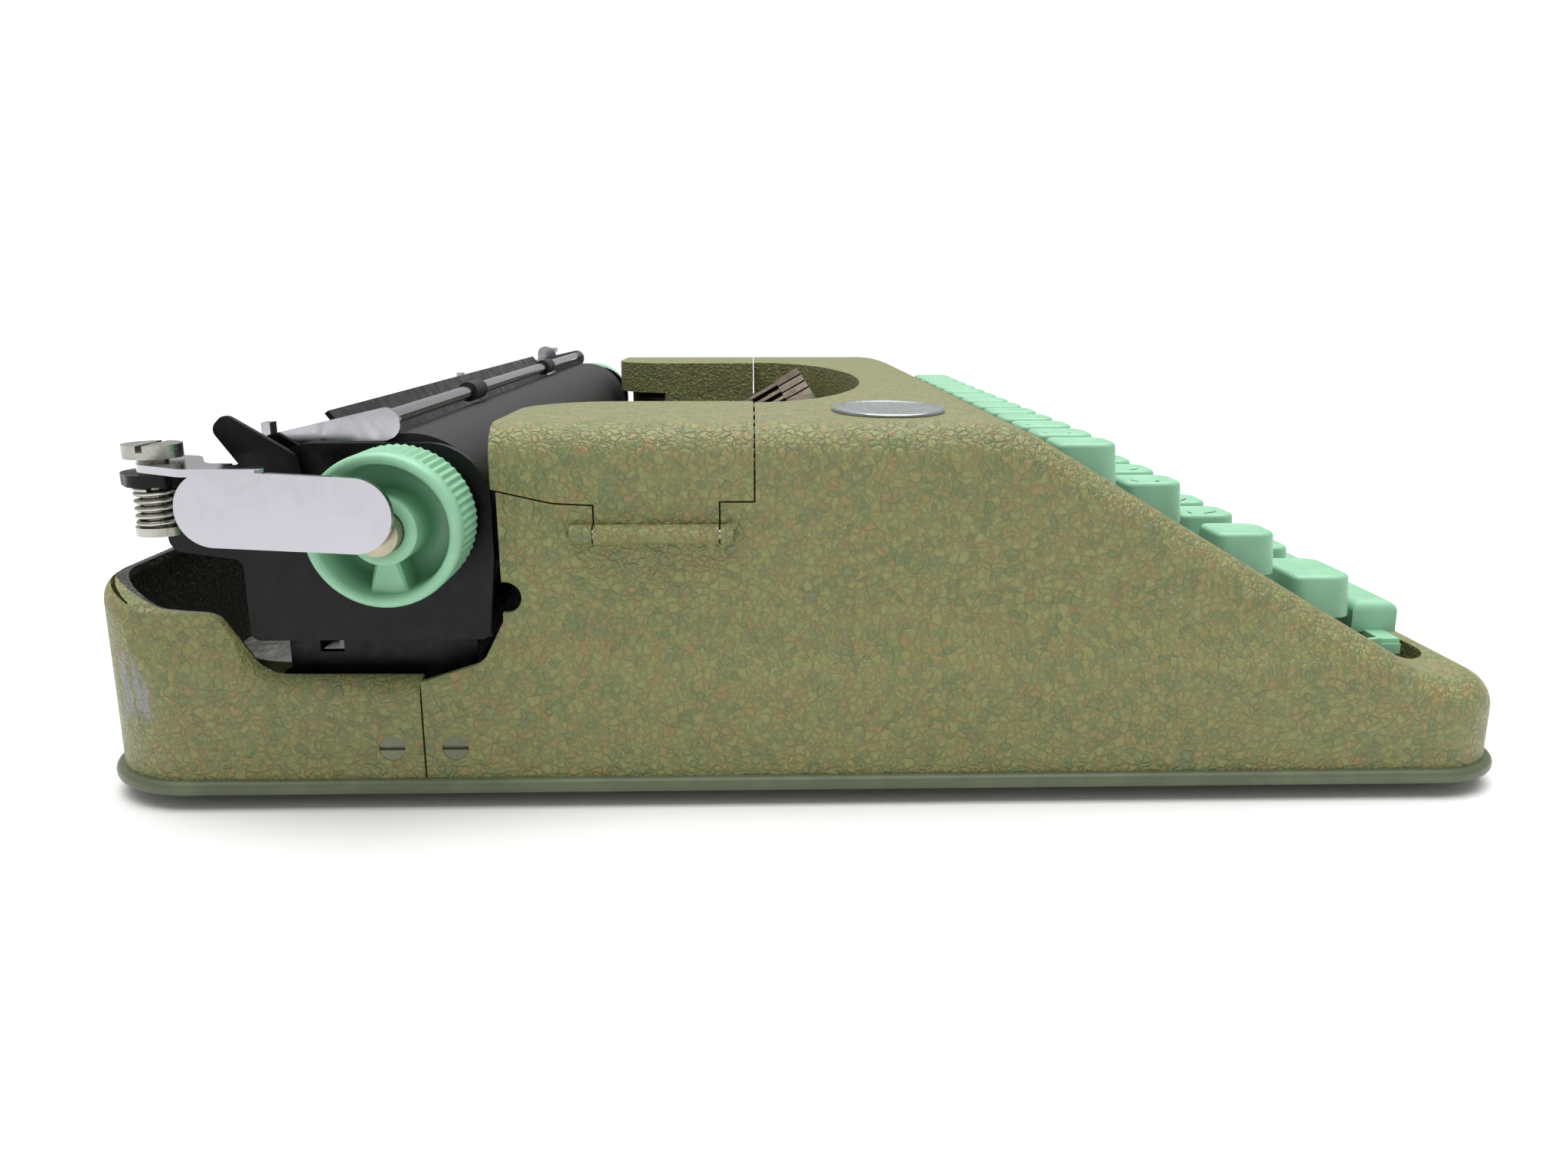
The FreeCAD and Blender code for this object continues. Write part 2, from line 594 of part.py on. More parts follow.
def type_action():
    bar = typebar_at_rest()
    middle = TYPEBAR_COUNT // 2
    bars = [into_segment(bar, angle) for angle in fan_angles()]
    keep("typebars", *(bars[:middle] + bars[middle + 1:]))
    keep("moving_typebar", bars[middle])
    ring = Part.makeCylinder(TYPEBAR_LENGTH + 3, 6, V(0, 0, -4)).cut(
        Part.makeCylinder(TYPEBAR_LENGTH - 5, 8, V(0, 0, -5)))
    wedge_deg = TYPEBAR_FAN_DEG + 6
    reach = 3 * TYPEBAR_LENGTH
    keep_side = math.radians(wedge_deg)
    far = V(reach * math.cos(keep_side), reach * math.sin(keep_side), -10)
    near = V(far.x, -far.y, -10)
    origin = V(0, 0, -10)
    wedge = Part.Face(Part.makePolygon([origin, near, V(2 * reach, 0, -10), far, origin]))
    ring = ring.common(wedge.extrude(V(0, 0, 20)))
    slot = box(TYPEBAR_LENGTH - 8, TYPEBAR_LENGTH + 2.4, -0.85, 0.85, -2.2, 5)
    slots = []
    for angle in fan_angles():
        slots.append(slot.rotated(V(0, 0, 0), V(0, 0, 1), angle))
    segment = into_segment(ring.cut(slots), 0)
    lugs = [box(x - 4, x + 4, 36, 46, 16.4, 24) for x in (-20.0, 20.0)]
    back = into_segment(Part.makeCylinder(TYPEBAR_LENGTH + 3, 2.5, V(0, 0, -6.4)).cut(
        Part.makeCylinder(TYPEBAR_LENGTH - 5, 8, V(0, 0, -8))).common(
            wedge.extrude(V(0, 0, 20))), 0)
    segment = segment.fuse([back] + lugs)
    floor = box(-80, 80, 0, 80, 0, 16.4)
    keep("type_segment", *segment.cut(floor).removeSplitter().Solids)


def key_levers_x(name):
    """X places of the key levers of one row."""
    first, count = {"number_row": (-5.0, 11), "upper_row": (-5.5, 12),
                    "home_row": (-4.75, 11), "lower_row": (-4.25, 10)}[name]
    return [(first + i) * KEY_PITCH for i in range(count)]


ROW_NAMES = ["number_row", "upper_row", "home_row", "lower_row"]


def row_place(name):
    """Y of a key row's middle and Z of its key tops."""
    row = ROW_NAMES.index(name)
    return FIRST_ROW_Y - ROW_PITCH * row, FIRST_ROW_TOP_Z - ROW_DROP * row


def lever_z(y):
    """Height of a key lever's centre line: level at the back, rising under the keys."""
    bend_y = 10.0
    return LEVER_AXIS[1] + max(0.0, (bend_y - y) * 0.11)


def key_lever(x, y, top_z):
    """Key lever with its eye round the shaft and an upright stem to top_z at y."""
    half = LEVER_HEIGHT / 2
    x0, x1 = x - LEVER_THICK / 2, x + LEVER_THICK / 2
    front = y - 2.2
    flat_z = LEVER_AXIS[1]
    outline = [
        (LEVER_AXIS[0], flat_z - half, 0), (LEVER_AXIS[0], flat_z + half, 0),
        (10, flat_z + half, 0), (y + 2.2, lever_z(y + 2.2) + half, 0),
        (y + 2.2, top_z, 0), (front, top_z, 0), (front, lever_z(front) - half, 0),
        (10, flat_z - half, 0),
    ]
    eye = cyl_x(x0, x1, LEVER_AXIS[0], flat_z, 4.2)
    lever = slab_x(outline, x0, x1).fuse(eye)
    bore = cyl_x(x0 - 1, x1 + 1, LEVER_AXIS[0], flat_z, LEVER_SHAFT_R + RUN_CLEARANCE)
    return lever.cut(bore).removeSplitter()


def key_cap(x, y, top_z, width=CAP_SIZE, depth=CAP_SIZE, height=CAP_HEIGHT):
    """Moulded cap: rounded plan, softened top edge."""
    corners = [(x - width / 2, y - depth / 2, 4.5), (x + width / 2, y - depth / 2, 4.5),
               (x + width / 2, y + depth / 2, 2.5), (x - width / 2, y + depth / 2, 2.5)]
    cap = slab_z(corners, top_z - height, top_z)
    top = [e for e in cap.Edges if abs(e.CenterOfMass.z - top_z) < 0.01]
    return cap.makeFillet(1.2, top)


TYPING_KEY_INDEX = 5


def character_keys():
    for name in ROW_NAMES:
        y, top_z = row_place(name)
        caps, levers = [], []
        for i, x in enumerate(key_levers_x(name)):
            cap = key_cap(x, y, top_z)
            lever = key_lever(x, y, top_z - CAP_HEIGHT)
            if name == "home_row" and i == TYPING_KEY_INDEX:
                keep("typing_key", fused([cap, lever]))
                continue
            caps.append(cap)
            levers.append(lever)
        keep(name + "_keys", *caps)
        keep(name + "_levers", *levers)


EDGE_KEY_X = 6 * KEY_PITCH
RELEASE_LEVER_X = -EDGE_KEY_X + 4.4


def special_keys():
    first_y, first_z = row_place("number_row")
    home_y, home_z = row_place("home_row")
    lower_y, lower_z = row_place("lower_row")
    backspace = key_cap(EDGE_KEY_X, first_y, first_z)
    keep("backspace_key", fused([backspace, key_lever(EDGE_KEY_X, first_y, first_z - 2)]))
    release = key_cap(-EDGE_KEY_X, first_y, first_z)
    keep("margin_release_key", fused([release, key_lever(RELEASE_LEVER_X, first_y, first_z - 2)]))
    lock = key_cap(-EDGE_KEY_X, home_y, home_z)
    block = box(-EDGE_KEY_X - 5, -EDGE_KEY_X + 5, home_y - 4, home_y + 4,
                home_z - CAP_HEIGHT - 6, home_z - CAP_HEIGHT)
    keep("shift_lock_key", fused([lock, block, key_lever(-EDGE_KEY_X, home_y, home_z - 12)]))
    for sign, side in ((-1, "left"), (1, "right")):
        x = sign * 106.5
        cap = key_cap(x, lower_y, lower_z, width=21.0)
        lever = key_lever(sign * 114.5, lower_y, lower_z - 2)
        keep("shift_key_" + side, fused([cap, lever]))


SPACE_Y = -127.2
SPACE_TOP_Z = 34.5
SPACE_ARM_X = 119.4


def space_bar():
    bar = box(-112, 112, SPACE_Y - 5, SPACE_Y + 5, SPACE_TOP_Z - 7, SPACE_TOP_Z)
    upper = [e for e in bar.Edges if e.CenterOfMass.z > SPACE_TOP_Z - 0.01]
    bar = bar.makeFillet(2.4, upper)
    arms = []
    for x in (-SPACE_ARM_X, SPACE_ARM_X):
        arms.append(key_lever(x, SPACE_Y, SPACE_TOP_Z - 7.5))
        step = sorted((x, math.copysign(106, x)))
        arms.append(box(step[0], step[1], SPACE_Y - 2.2, SPACE_Y + 2.2,
                        SPACE_TOP_Z - 9, SPACE_TOP_Z - 6.5))
    keep("space_bar", fused([bar] + arms))


def lever_places():
    places = [-EDGE_KEY_X, RELEASE_LEVER_X, EDGE_KEY_X, -114.5, 114.5, -SPACE_ARM_X, SPACE_ARM_X]
    for name in ROW_NAMES:
        places.extend(key_levers_x(name))
    return places


def lever_guides():
    slot_half = LEVER_THICK / 2 + GAP
    comb = box(-FRAME_X, FRAME_X, -44, -42.4, TRAY_FLOOR_Z, 30)
    slots = [box(x - slot_half, x + slot_half, -45, -41, 5.2, 31) for x in lever_places()]
    keep("key_lever_comb", comb.cut(slots))
    shaft = cyl_x(-FRAME_X, FRAME_X, LEVER_AXIS[0], LEVER_AXIS[1], LEVER_SHAFT_R)
    keep("key_lever_shaft", shaft)


RIBBON_Y = PLATEN_FRONT_Y - 3.1
RIBBON_Z = (49.0, 61.5)


def ribbon_path():
    plate = slab_y([(-9, 26, 1), (9, 26, 1), (9, 62, 2), (4.6, 62, 0.8), (4.6, 40, 2),
                    (-4.6, 40, 2), (-4.6, 62, 0.8), (-9, 62, 2)], RIBBON_Y - 1.5, RIBBON_Y - 0.6)
    keep("ribbon_vibrator", plate)
    z0, z1 = RIBBON_Z
    thin = 0.15
    bend_x = 66.0
    x1, y1 = 97.0, 46.5
    corners = [(-bend_x, RIBBON_Y, 0), (bend_x, RIBBON_Y, 0), (x1, y1, 0), (x1 + thin, y1 + thin, 0),
               (bend_x + thin, RIBBON_Y + thin, 0), (-bend_x - thin, RIBBON_Y + thin, 0),
               (-x1 - thin, y1 + thin, 0), (-x1, y1, 0)]
    keep("ribbon", slab_z(corners, z0, z1))
    for sign, side in ((-1, "left"), (1, "right")):
        x, y = SPOOL_PLACE
        x *= sign
        spool = fused([cyl_z(47.6, 48.6, x, y, SPOOL_R), cyl_z(62.4, 63.4, x, y, SPOOL_R),
                       cyl_z(47.6, 63.4, x, y, 9.0)])
        keep("ribbon_spool_" + side, spool.cut(cyl_z(40, 70, x, y, 2.0 + RUN_CLEARANCE)))
    y0, y1 = PLATEN_FRONT_Y - 1.9, PLATEN_FRONT_Y - 1.4
    gauge = box(14, 46, y0, y1, 47, 63).fuse(box(14, 20, y0, y1, 30, 47))
    keep("line_gauge", gauge, mirrored(gauge))


# ---- Carriage ----
RACK_Y = 97.5
PAPER_RELEASE_AT = (96.0, 66.0)         # pivots of the small levers, Y and Z
LINE_SPACE_AT = (100.0, 62.0)
CARRIAGE_RELEASE_AT = (120.0, 60.0)
PIN_PLACES = {"left": [LINE_SPACE_AT], "right": [PAPER_RELEASE_AT, CARRIAGE_RELEASE_AT]}


def carriage_rails():
    """Fixed rails that lift a little with the shift keys, and the brackets that join them."""
    rails = [box(-130, 130, 68, 72, 28.5, 33.2), box(-130, 130, 102, 106, 28.5, 33.2)]
    for sign in (-1, 1):
        x = sorted((sign * 128, sign * 130))
        bracket = slab_x([(68, 19, 2), (106, 19, 2), (106, 33.2, 0), (68, 33.2, 0)], x[0], x[1])
        rails.append(bracket.cut(box(x[0] - 1, x[1] + 1, RACK_Y - 2.4, RACK_Y + 2.4, 30.0, 34)))
    keep("carriage_rails", fused(rails))


def carriage_frame():
    floor_z = CARRIAGE_FLOOR_Z
    half = PLATEN_HALF + 2
    channel = slab_x([
        (64.5, floor_z, 0), (112, floor_z, 2.5), (112, floor_z + 20, 0), (110.4, floor_z + 20, 0),
        (110.4, floor_z + 1.6, 1.0), (66.1, floor_z + 1.6, 1.0), (66.1, floor_z + 3.5, 0),
        (64.5, floor_z + 3.5, 0)], -half, half)
    rack = box(-118, 118, RACK_Y - 0.9, RACK_Y + 0.9, floor_z - 2.4, floor_z)
    pitch = 2.5
    gaps = [box(x, x + pitch / 2, RACK_Y - 1.5, RACK_Y + 1.5, floor_z - 3, floor_z - 0.6)
            for x in [-117 + pitch * i for i in range(int(234 / pitch))]]
    keep("carriage_frame", fused([channel, rack.cut(gaps)]))
    outline = [(62.8, 50, 4), (62.8, PLATEN_Z + 14, 12), (98, PLATEN_Z + 14, 6), (126, 64.5, 3),
               (126, 52, 3), (112, 50, 2), (112, floor_z, 2), (64.5, floor_z, 2)]
    for sign, side in ((-1, "left"), (1, "right")):
        x = sorted((sign * half, sign * (half + END_PLATE)))
        plate = slab_x(outline, x[0], x[1])
        plate = plate.cut(cyl_x(x[0] - 1, x[1] + 1, PLATEN_Y, PLATEN_Z, SHAFT_R + RUN_CLEARANCE))
        pin = sorted((sign * (PLATEN_HALF - 2), sign * (half + 1)))
        parts = [plate, cyl_x(pin[0], pin[1], BAIL_PIVOT[0], BAIL_PIVOT[1], 1.8)]
        for at in PIN_PLACES[side]:
            pin = sorted((sign * (half + 1), sign * (half + END_PLATE + 2.2)))
            parts.append(cyl_x(pin[0], pin[1], at[0], at[1], LEVER_PIN_R))
        if side == "left":
            parts.extend(lever_bracket())
        keep("carriage_end_" + side, fused(parts))


FEED_R = 4.2
FEED_OFFSET = 10.0


def feed_rollers():
    away = PLATEN_R + FEED_R + 0.3
    drop = math.sqrt(away ** 2 - FEED_OFFSET ** 2)
    for name, y in (("feed_roller_front", PLATEN_Y - FEED_OFFSET),
                    ("feed_roller_rear", PLATEN_Y + FEED_OFFSET)):
        z = PLATEN_Z - drop
        rod = cyl_x(-PLATEN_HALF - 1.5, PLATEN_HALF + 1.5, y, z, 1.5)
        tyres = [cyl_x(x - 14, x + 14, y, z, FEED_R) for x in (-84, -28, 28, 84)]
        keep(name, fused([rod] + tyres))


def platen():
    roller = cyl_x(-PLATEN_HALF, PLATEN_HALF, PLATEN_Y, PLATEN_Z, PLATEN_R)
    bore = cyl_x(-PLATEN_HALF - 1, PLATEN_HALF + 1, PLATEN_Y, PLATEN_Z, SHAFT_R)
    keep("platen_roller", roller.cut(bore))
    left_end = -PLATEN_HALF - 2 - END_PLATE - 2.4
    right_end = PLATEN_HALF + 2 + END_PLATE + 5.4
    keep("platen_shaft", cyl_x(left_end - KNOB_LENGTH - 3, right_end + KNOB_LENGTH + 0.6,
                               PLATEN_Y, PLATEN_Z, SHAFT_R))
    knob = knob_form(left_end)
    twin = mirrored(knob)
    twin.translate(V(right_end + left_end, 0, 0))
    keep("platen_knobs", knob, twin)
    x0 = PLATEN_HALF + 2 + END_PLATE + 1.0
    wheel = cyl_x(x0, x0 + 2.4, PLATEN_Y, PLATEN_Z, 12.0)
    notches = []
    for i in range(30):
        notch = box(x0 - 1, x0 + 4, PLATEN_Y - 0.6, PLATEN_Y + 0.6, PLATEN_Z + 10.8, PLATEN_Z + 13)
        notches.append(notch.rotate(V(0, PLATEN_Y, PLATEN_Z), V(1, 0, 0), 12.0 * i))
    bore = cyl_x(x0 - 1, x0 + 4, PLATEN_Y, PLATEN_Z, SHAFT_R)
    keep("ratchet_wheel", wheel.cut(notches).cut(bore))


def knob_form(inner_x):
    """Left knob: a ribbed cup, open outwards, with a hub joined by one flared web."""
    outer_x = inner_x - KNOB_LENGTH
    cup = cyl_x(outer_x, inner_x, PLATEN_Y, PLATEN_Z, KNOB_R)
    rim = [e for e in cup.Edges if e.Curve.TypeId == "Part::GeomCircle"]
    cup = cup.makeFillet(1.0, rim)
    grooves = []
    for i in range(60):
        groove = cyl_x(outer_x + 3, inner_x + 1, PLATEN_Y, PLATEN_Z + KNOB_R + 0.35, 0.55)
        grooves.append(groove.rotate(V(0, PLATEN_Y, PLATEN_Z), V(1, 0, 0), 6.0 * i))
    hollow = cyl_x(outer_x - 1, inner_x - 4, PLATEN_Y, PLATEN_Z, KNOB_R - 2.2).cut(
        cyl_x(outer_x - 1, inner_x, PLATEN_Y, PLATEN_Z, 6.4))
    web = slab_x([(PLATEN_Y - 2.2, PLATEN_Z - 5, 0), (PLATEN_Y + 2.2, PLATEN_Z - 5, 0),
                  (PLATEN_Y + 4, PLATEN_Z - 14, 0), (PLATEN_Y - 4, PLATEN_Z - 14, 0)],
                 outer_x + 3, inner_x - 2)
    knob = cup.cut(grooves).cut(hollow).fuse(web)
    return knob.cut(cyl_x(outer_x - 2, inner_x + 2, PLATEN_Y, PLATEN_Z, SHAFT_R)).removeSplitter()


def paper_table():
    """Curved plate behind the platen that guides the paper down to the feed rollers."""
    r_in = PLATEN_R + 1.3
    ring = cyl_x(-118, 118, PLATEN_Y, PLATEN_Z, r_in + 1.0).cut(
        cyl_x(-119, 119, PLATEN_Y, PLATEN_Z, r_in))
    start, end = -25.0, 38.0
    far = 60.0
    a0, a1 = math.radians(start), math.radians(end)
    wedge = slab_x([(PLATEN_Y, PLATEN_Z, 0),
                    (PLATEN_Y + far * math.cos(a0), PLATEN_Z + far * math.sin(a0), 0),
                    (PLATEN_Y + far, PLATEN_Z, 0),
                    (PLATEN_Y + far * math.cos(a1), PLATEN_Z + far * math.sin(a1), 0)], -119, 119)
    curve = ring.common(wedge)
    mid = r_in + 0.5
    y0 = PLATEN_Y + mid * math.cos(a1)
    z0 = PLATEN_Z + mid * math.sin(a1)
    flat = box(-118, 118, y0 - 0.5, y0 + 0.5, z0 - 0.5, z0 + 10)
    flat.rotate(V(0, y0, z0), V(1, 0, 0), -38)
    keep("paper_table", fused([curve, flat]))


RAIL_PLACE = (118.0, 58.0)


def margin_parts():
    y, z = RAIL_PLACE
    half = PLATEN_HALF + 2
    keep("margin_rail", cyl_x(-half, half, y, z, 2.4))
    for sign, side in ((-1, "left"), (1, "right")):
        x = sign * 92
        stop = box(x - 5, x + 5, y - 5, y + 5, z - 4, z + 8)
        tab = box(x - 2, x + 2, y + 2, y + 4, z + 6, z + 15)
        bore = cyl_x(x - 8, x + 8, y, z, 2.4 + RUN_CLEARANCE)
        keep("margin_stop_" + side, fused([stop, tab]).cut(bore))


def lever_bracket():
    """Ear of the left end plate that carries the return lever's upright pivot."""
    px, py = LEVER_PIVOT
    ear = slab_z([(-PLATEN_HALF - 4, 112, 1), (-PLATEN_HALF - 4, 126, 1), (px, py + 7, 6),
                  (px - 6.5, py + 2, 4), (px - 6, py - 5, 4), (px + 4, 112.6, 2)], 67.0, 69.2)
    leg = box(-PLATEN_HALF - 6, -PLATEN_HALF - 4, 112, 125, 56, 69.2)
    return [ear.cut(cyl_z(50, 80, px, py, 2.6)), leg]


def return_lever():
    px, py = LEVER_PIVOT
    plate = slab_x([(74.5, 57.8, 6.7), (74.5, 71.4, 6.7), (112.2, 71.4, 6.7), (112.2, 57.8, 6.7)],
                   LEVER_PLATE_X, LEVER_PLATE_X + 1.6)
    plate.rotate(V(0, 112.2, 71.4), V(1, 0, 0), LEVER_TILT_DEG)
    flange = slab_z([(LEVER_PLATE_X, 97, 1), (LEVER_PLATE_X, 111, 4), (px - 7, py, 6),
                     (px + 6.5, py + 6, 5), (px + 6.5, py - 6, 5), (px - 5, 110, 6),
                     (LEVER_PLATE_X + 3, 97, 1)], 70.0, 71.4)
    lever = plate.fuse(flange)
    lever = lever.cut(cyl_z(60, 80, px, py, 2.6 + RUN_CLEARANCE)).removeSplitter()
    keep("return_lever", lever)
    head = cyl_z(71.9, 74.4, px, py, 5.2).cut(box(px - 6, px + 6, py - 0.6, py + 0.6, 73.2, 75))
    post = cyl_z(58.5, 72.2, px, py, 2.6)
    nut = cyl_z(57.6, 59.2, px, py, 4.4)
    link = fused([head, post, nut])
    keep("lever_pivot_screw", link)
    keep("lever_spring", coil(px, py, 59.4, 66.8, 3.7, 0.55, 5))


def coil(x, y, z0, z1, radius, wire_r, turns):
    """Coil spring as stacked rings, one per turn."""
    pitch = (z1 - z0 - 2 * wire_r) / (turns - 1)
    rings = []
    for i in range(turns):
        rings.append(Part.makeTorus(radius, wire_r, V(x, y, z0 + wire_r + pitch * i)))
    back = cyl_z(z0 + wire_r, z1 - wire_r, x + radius, y, wire_r * 0.8)
    return fused(rings + [back])


BAIL_PIVOT = (PLATEN_Y + 25.0, PLATEN_Z + 11.0)
BAIL_ROD = (PLATEN_Y + 4.0, PLATEN_Z + PLATEN_R + 2.8)


def paper_bail():
    py, pz = BAIL_PIVOT
    ry, rz = BAIL_ROD
    rod = cyl_x(-PLATEN_HALF - 1.7, PLATEN_HALF + 1.7, ry, rz, 1.6)
    parts = [rod]
    for sign in (-1, 1):
        x = sorted((sign * (PLATEN_HALF + 0.3), sign * (PLATEN_HALF + 1.7)))
        arm = slab_x([(ry - 3, rz - 3, 2.9), (ry - 3, rz + 3, 2.9), (py + 3.5, pz + 4, 3.4),
                      (py + 3.5, pz - 3.4, 3.4), (py - 3.5, pz - 3.4, 3.4)], x[0], x[1])
        parts.append(arm)
        parts.append(cyl_x(x[0], x[1], py, pz, 3.4))
    bail = fused(parts)
    keep("paper_bail", bail.cut(
        cyl_x(-PLATEN_HALF - 3, PLATEN_HALF + 3, py, pz, 1.8 + RUN_CLEARANCE)))
    tyres = []
    for x in (-55, 55):
        tyre = cyl_x(x - 6, x + 6, ry, rz, 2.45)
        tyres.append(tyre.cut(cyl_x(x - 7, x + 7, ry, rz, 1.6)))
    keep("bail_rollers", *tyres)


def small_levers():
    """Paper release and carriage release on the right, line-space selector on the left."""
    x0 = PLATEN_HALF + 2 + END_PLATE + 0.4
    py, pz = PAPER_RELEASE_AT
    arm = slab_x([(py - 4, pz - 4, 3.5), (py - 4, pz + 14, 3), (py + 3, pz + 16, 3),
                  (py + 4, pz - 4, 3.5)], x0, x0 + 1.4)
    pad = box(x0, x0 + 9, py - 3.4, py + 2.6, pz + 12.6, pz + 14.2)
    keep("paper_release_lever", pinned(fused([arm, pad]), PAPER_RELEASE_AT))
    qy, qz = LINE_SPACE_AT
    arm = slab_x([(qy - 3, qz - 3, 2.8), (qy - 1, qz + 9, 2), (qy + 12, qz + 17, 2),
                  (qy + 15, qz + 14, 2), (qy + 3, qz - 3, 2.8)], -x0 - 1.4, -x0)
    keep("line_space_lever", pinned(arm, LINE_SPACE_AT))
    cy, cz = CARRIAGE_RELEASE_AT
    arm = slab_x([(cy - 3, cz - 3, 2.8), (cy - 3, cz + 3, 2.8), (cy + 12, cz + 7, 2),
                  (cy + 13, cz + 3, 2), (cy + 3, cz - 3, 2.8)], x0, x0 + 1.6)
    pad = box(x0, x0 + 10, cy + 6, cy + 12.4, cz + 4.4, cz + 6.0)
    keep("carriage_release_lever", pinned(fused([arm, pad]), CARRIAGE_RELEASE_AT))


def pinned(lever, place):
    """Bores a lever for its pin at place, given as Y and Z."""
    reach = PLATEN_HALF + 40
    return lever.cut(cyl_x(-reach, reach, place[0], place[1], LEVER_PIN_R + RUN_CLEARANCE))


def build():
    outer = front_form(0)
    inner = front_form(SHEET)
    front_shell(outer, inner)
    ribbon_covers(outer, inner)
    rear_shell()
    name_plate()
    shell_screws()
    base_tray()
    main_frame()
    mainspring_drum()
    escapement_wheel()
    bell()
    type_action()
    character_keys()
    special_keys()
    space_bar()
    lever_guides()
    ribbon_path()
    carriage_rails()
    carriage_frame()
    feed_rollers()
    platen()
    paper_table()
    margin_parts()
    return_lever()
    paper_bail()
    small_levers()


build()
os.makedirs("parts", exist_ok=True)
for name, solids in NODES.items():
    whole = solids[0] if len(solids) == 1 else Part.makeCompound(solids)
    whole.exportStep("parts/%s.step" % name)
    if not whole.isValid() or any(s.Volume <= 0 for s in whole.Solids):
        print("not valid:", name)
    print(name, len(whole.Solids), round(whole.Volume))
print(len(NODES), "nodes")
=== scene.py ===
import json
import math

import bmesh
import bpy
import numpy as np
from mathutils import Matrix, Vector

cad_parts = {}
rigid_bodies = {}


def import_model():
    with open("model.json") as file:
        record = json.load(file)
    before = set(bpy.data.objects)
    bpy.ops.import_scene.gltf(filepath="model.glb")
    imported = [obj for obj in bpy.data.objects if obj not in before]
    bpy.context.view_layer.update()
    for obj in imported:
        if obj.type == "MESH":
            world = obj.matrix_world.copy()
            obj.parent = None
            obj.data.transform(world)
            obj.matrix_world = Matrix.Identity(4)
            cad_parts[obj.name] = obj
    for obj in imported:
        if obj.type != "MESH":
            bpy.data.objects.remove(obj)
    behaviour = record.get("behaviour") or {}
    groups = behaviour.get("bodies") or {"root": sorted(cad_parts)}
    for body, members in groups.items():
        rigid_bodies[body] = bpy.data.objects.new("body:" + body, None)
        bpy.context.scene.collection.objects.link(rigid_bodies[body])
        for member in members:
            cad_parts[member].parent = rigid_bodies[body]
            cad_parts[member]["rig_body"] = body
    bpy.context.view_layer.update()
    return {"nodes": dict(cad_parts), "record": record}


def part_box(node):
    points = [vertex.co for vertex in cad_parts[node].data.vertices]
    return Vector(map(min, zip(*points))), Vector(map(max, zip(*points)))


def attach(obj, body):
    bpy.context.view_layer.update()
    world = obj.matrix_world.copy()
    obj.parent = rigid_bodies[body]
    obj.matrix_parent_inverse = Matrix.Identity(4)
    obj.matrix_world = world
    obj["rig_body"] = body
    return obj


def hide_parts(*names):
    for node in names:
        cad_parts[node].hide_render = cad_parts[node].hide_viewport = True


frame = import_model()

# %% [markdown]
# ## The frame
# The working machine comes packed from the design: every pressed, turned and moulded piece is
# already an object in metres, at the place where it works. This lesson dresses that frame. It
# never moves it; it gives each piece its finish, and builds finer versions of the pieces that
# a hand or an eye meets first: key caps, knobs, the return lever and its spring.

# %% The size of the machine
MM = 0.001

# %% [markdown]
# ## Camera and studio
# The machine is seen from its left side, close up and a little from above, which makes the
# near side large and the keyboard run away to the right. A product studio has a white table,
# a large overhead softbox and a white room. The sky stands for the room: dim for the surfaces,
# white where it is looked at directly.

# %% Camera
EYE = Vector((-0.368, 0.0113, 0.1002))
AIM = Vector((0.9718, -0.0247, -0.2345))
LENS_MM, SENSOR_MM = 27.58, 36.0
NEAREST_SEEN = 0.01
scene = bpy.context.scene
camera_data = bpy.data.cameras.new("camera")
camera_data.lens = LENS_MM
camera_data.sensor_width = SENSOR_MM
camera_data.clip_start = NEAREST_SEEN
camera = bpy.data.objects.new("camera", camera_data)
camera.rotation_mode = "QUATERNION"
camera.location = EYE
camera.rotation_quaternion = AIM.to_track_quat("-Z", "Y")
scene.collection.objects.link(camera)
scene.camera = camera
scene.view_settings.view_transform = "Standard"
print("camera at", [round(c, 3) for c in EYE])

# %% [markdown]
# ## Two small tools for materials
# Paint makers name colours in sRGB, and light adds up in linear light, so one function turns
# one into the other. Another adds a node: it sets the node's own settings, then fills each
# named socket with a number, a colour or the output of an earlier node.


# %% Colour and node helpers
def colour(code):
    """Linear colour of '#rrggbb': c/12.92 below 0.04045, and ((c+0.055)/1.055)^2.4 above."""
    c = np.array([int(code[i:i + 2], 16) for i in (1, 3, 5)]) / 255
    linear = np.where(c <= 0.04045, c / 12.92, ((c + 0.055) / 1.055) ** 2.4)
    return (*linear.tolist(), 1.0)


def add(tree, kind, sockets=None, **settings):
    """Adds one shader node; sockets maps input names or numbers to values or outputs."""
    made = tree.nodes.new("ShaderNode" + kind)
    for name, value in settings.items():
        setattr(made, name, value)
    for key, value in (sockets or {}).items():
        if isinstance(value, bpy.types.NodeSocket):
            tree.links.new(value, made.inputs[key])
        else:
            made.inputs[key].default_value = value
    return made


MIX_A, MIX_B, MIX_OUT = 6, 7, 2     # the colour sockets of a Mix node


def new_finish(name, metallic, roughness):
    """A material with its tree, its surface shader, and coordinates in millimetres."""
    material = bpy.data.materials.new(name)
    material.use_nodes = True
    tree = material.node_tree
    shader = tree.nodes["Principled BSDF"]
    shader.inputs["Metallic"].default_value = metallic
    shader.inputs["Roughness"].default_value = roughness
    place = add(tree, "TexCoord").outputs["Object"]
    mm = add(tree, "Mapping", {"Vector": place, "Scale": (1 / MM,) * 3}).outputs[0]
    return material, tree, shader, mm


print("helpers ready: colour('#808080') =", round(colour("#808080")[0], 3))

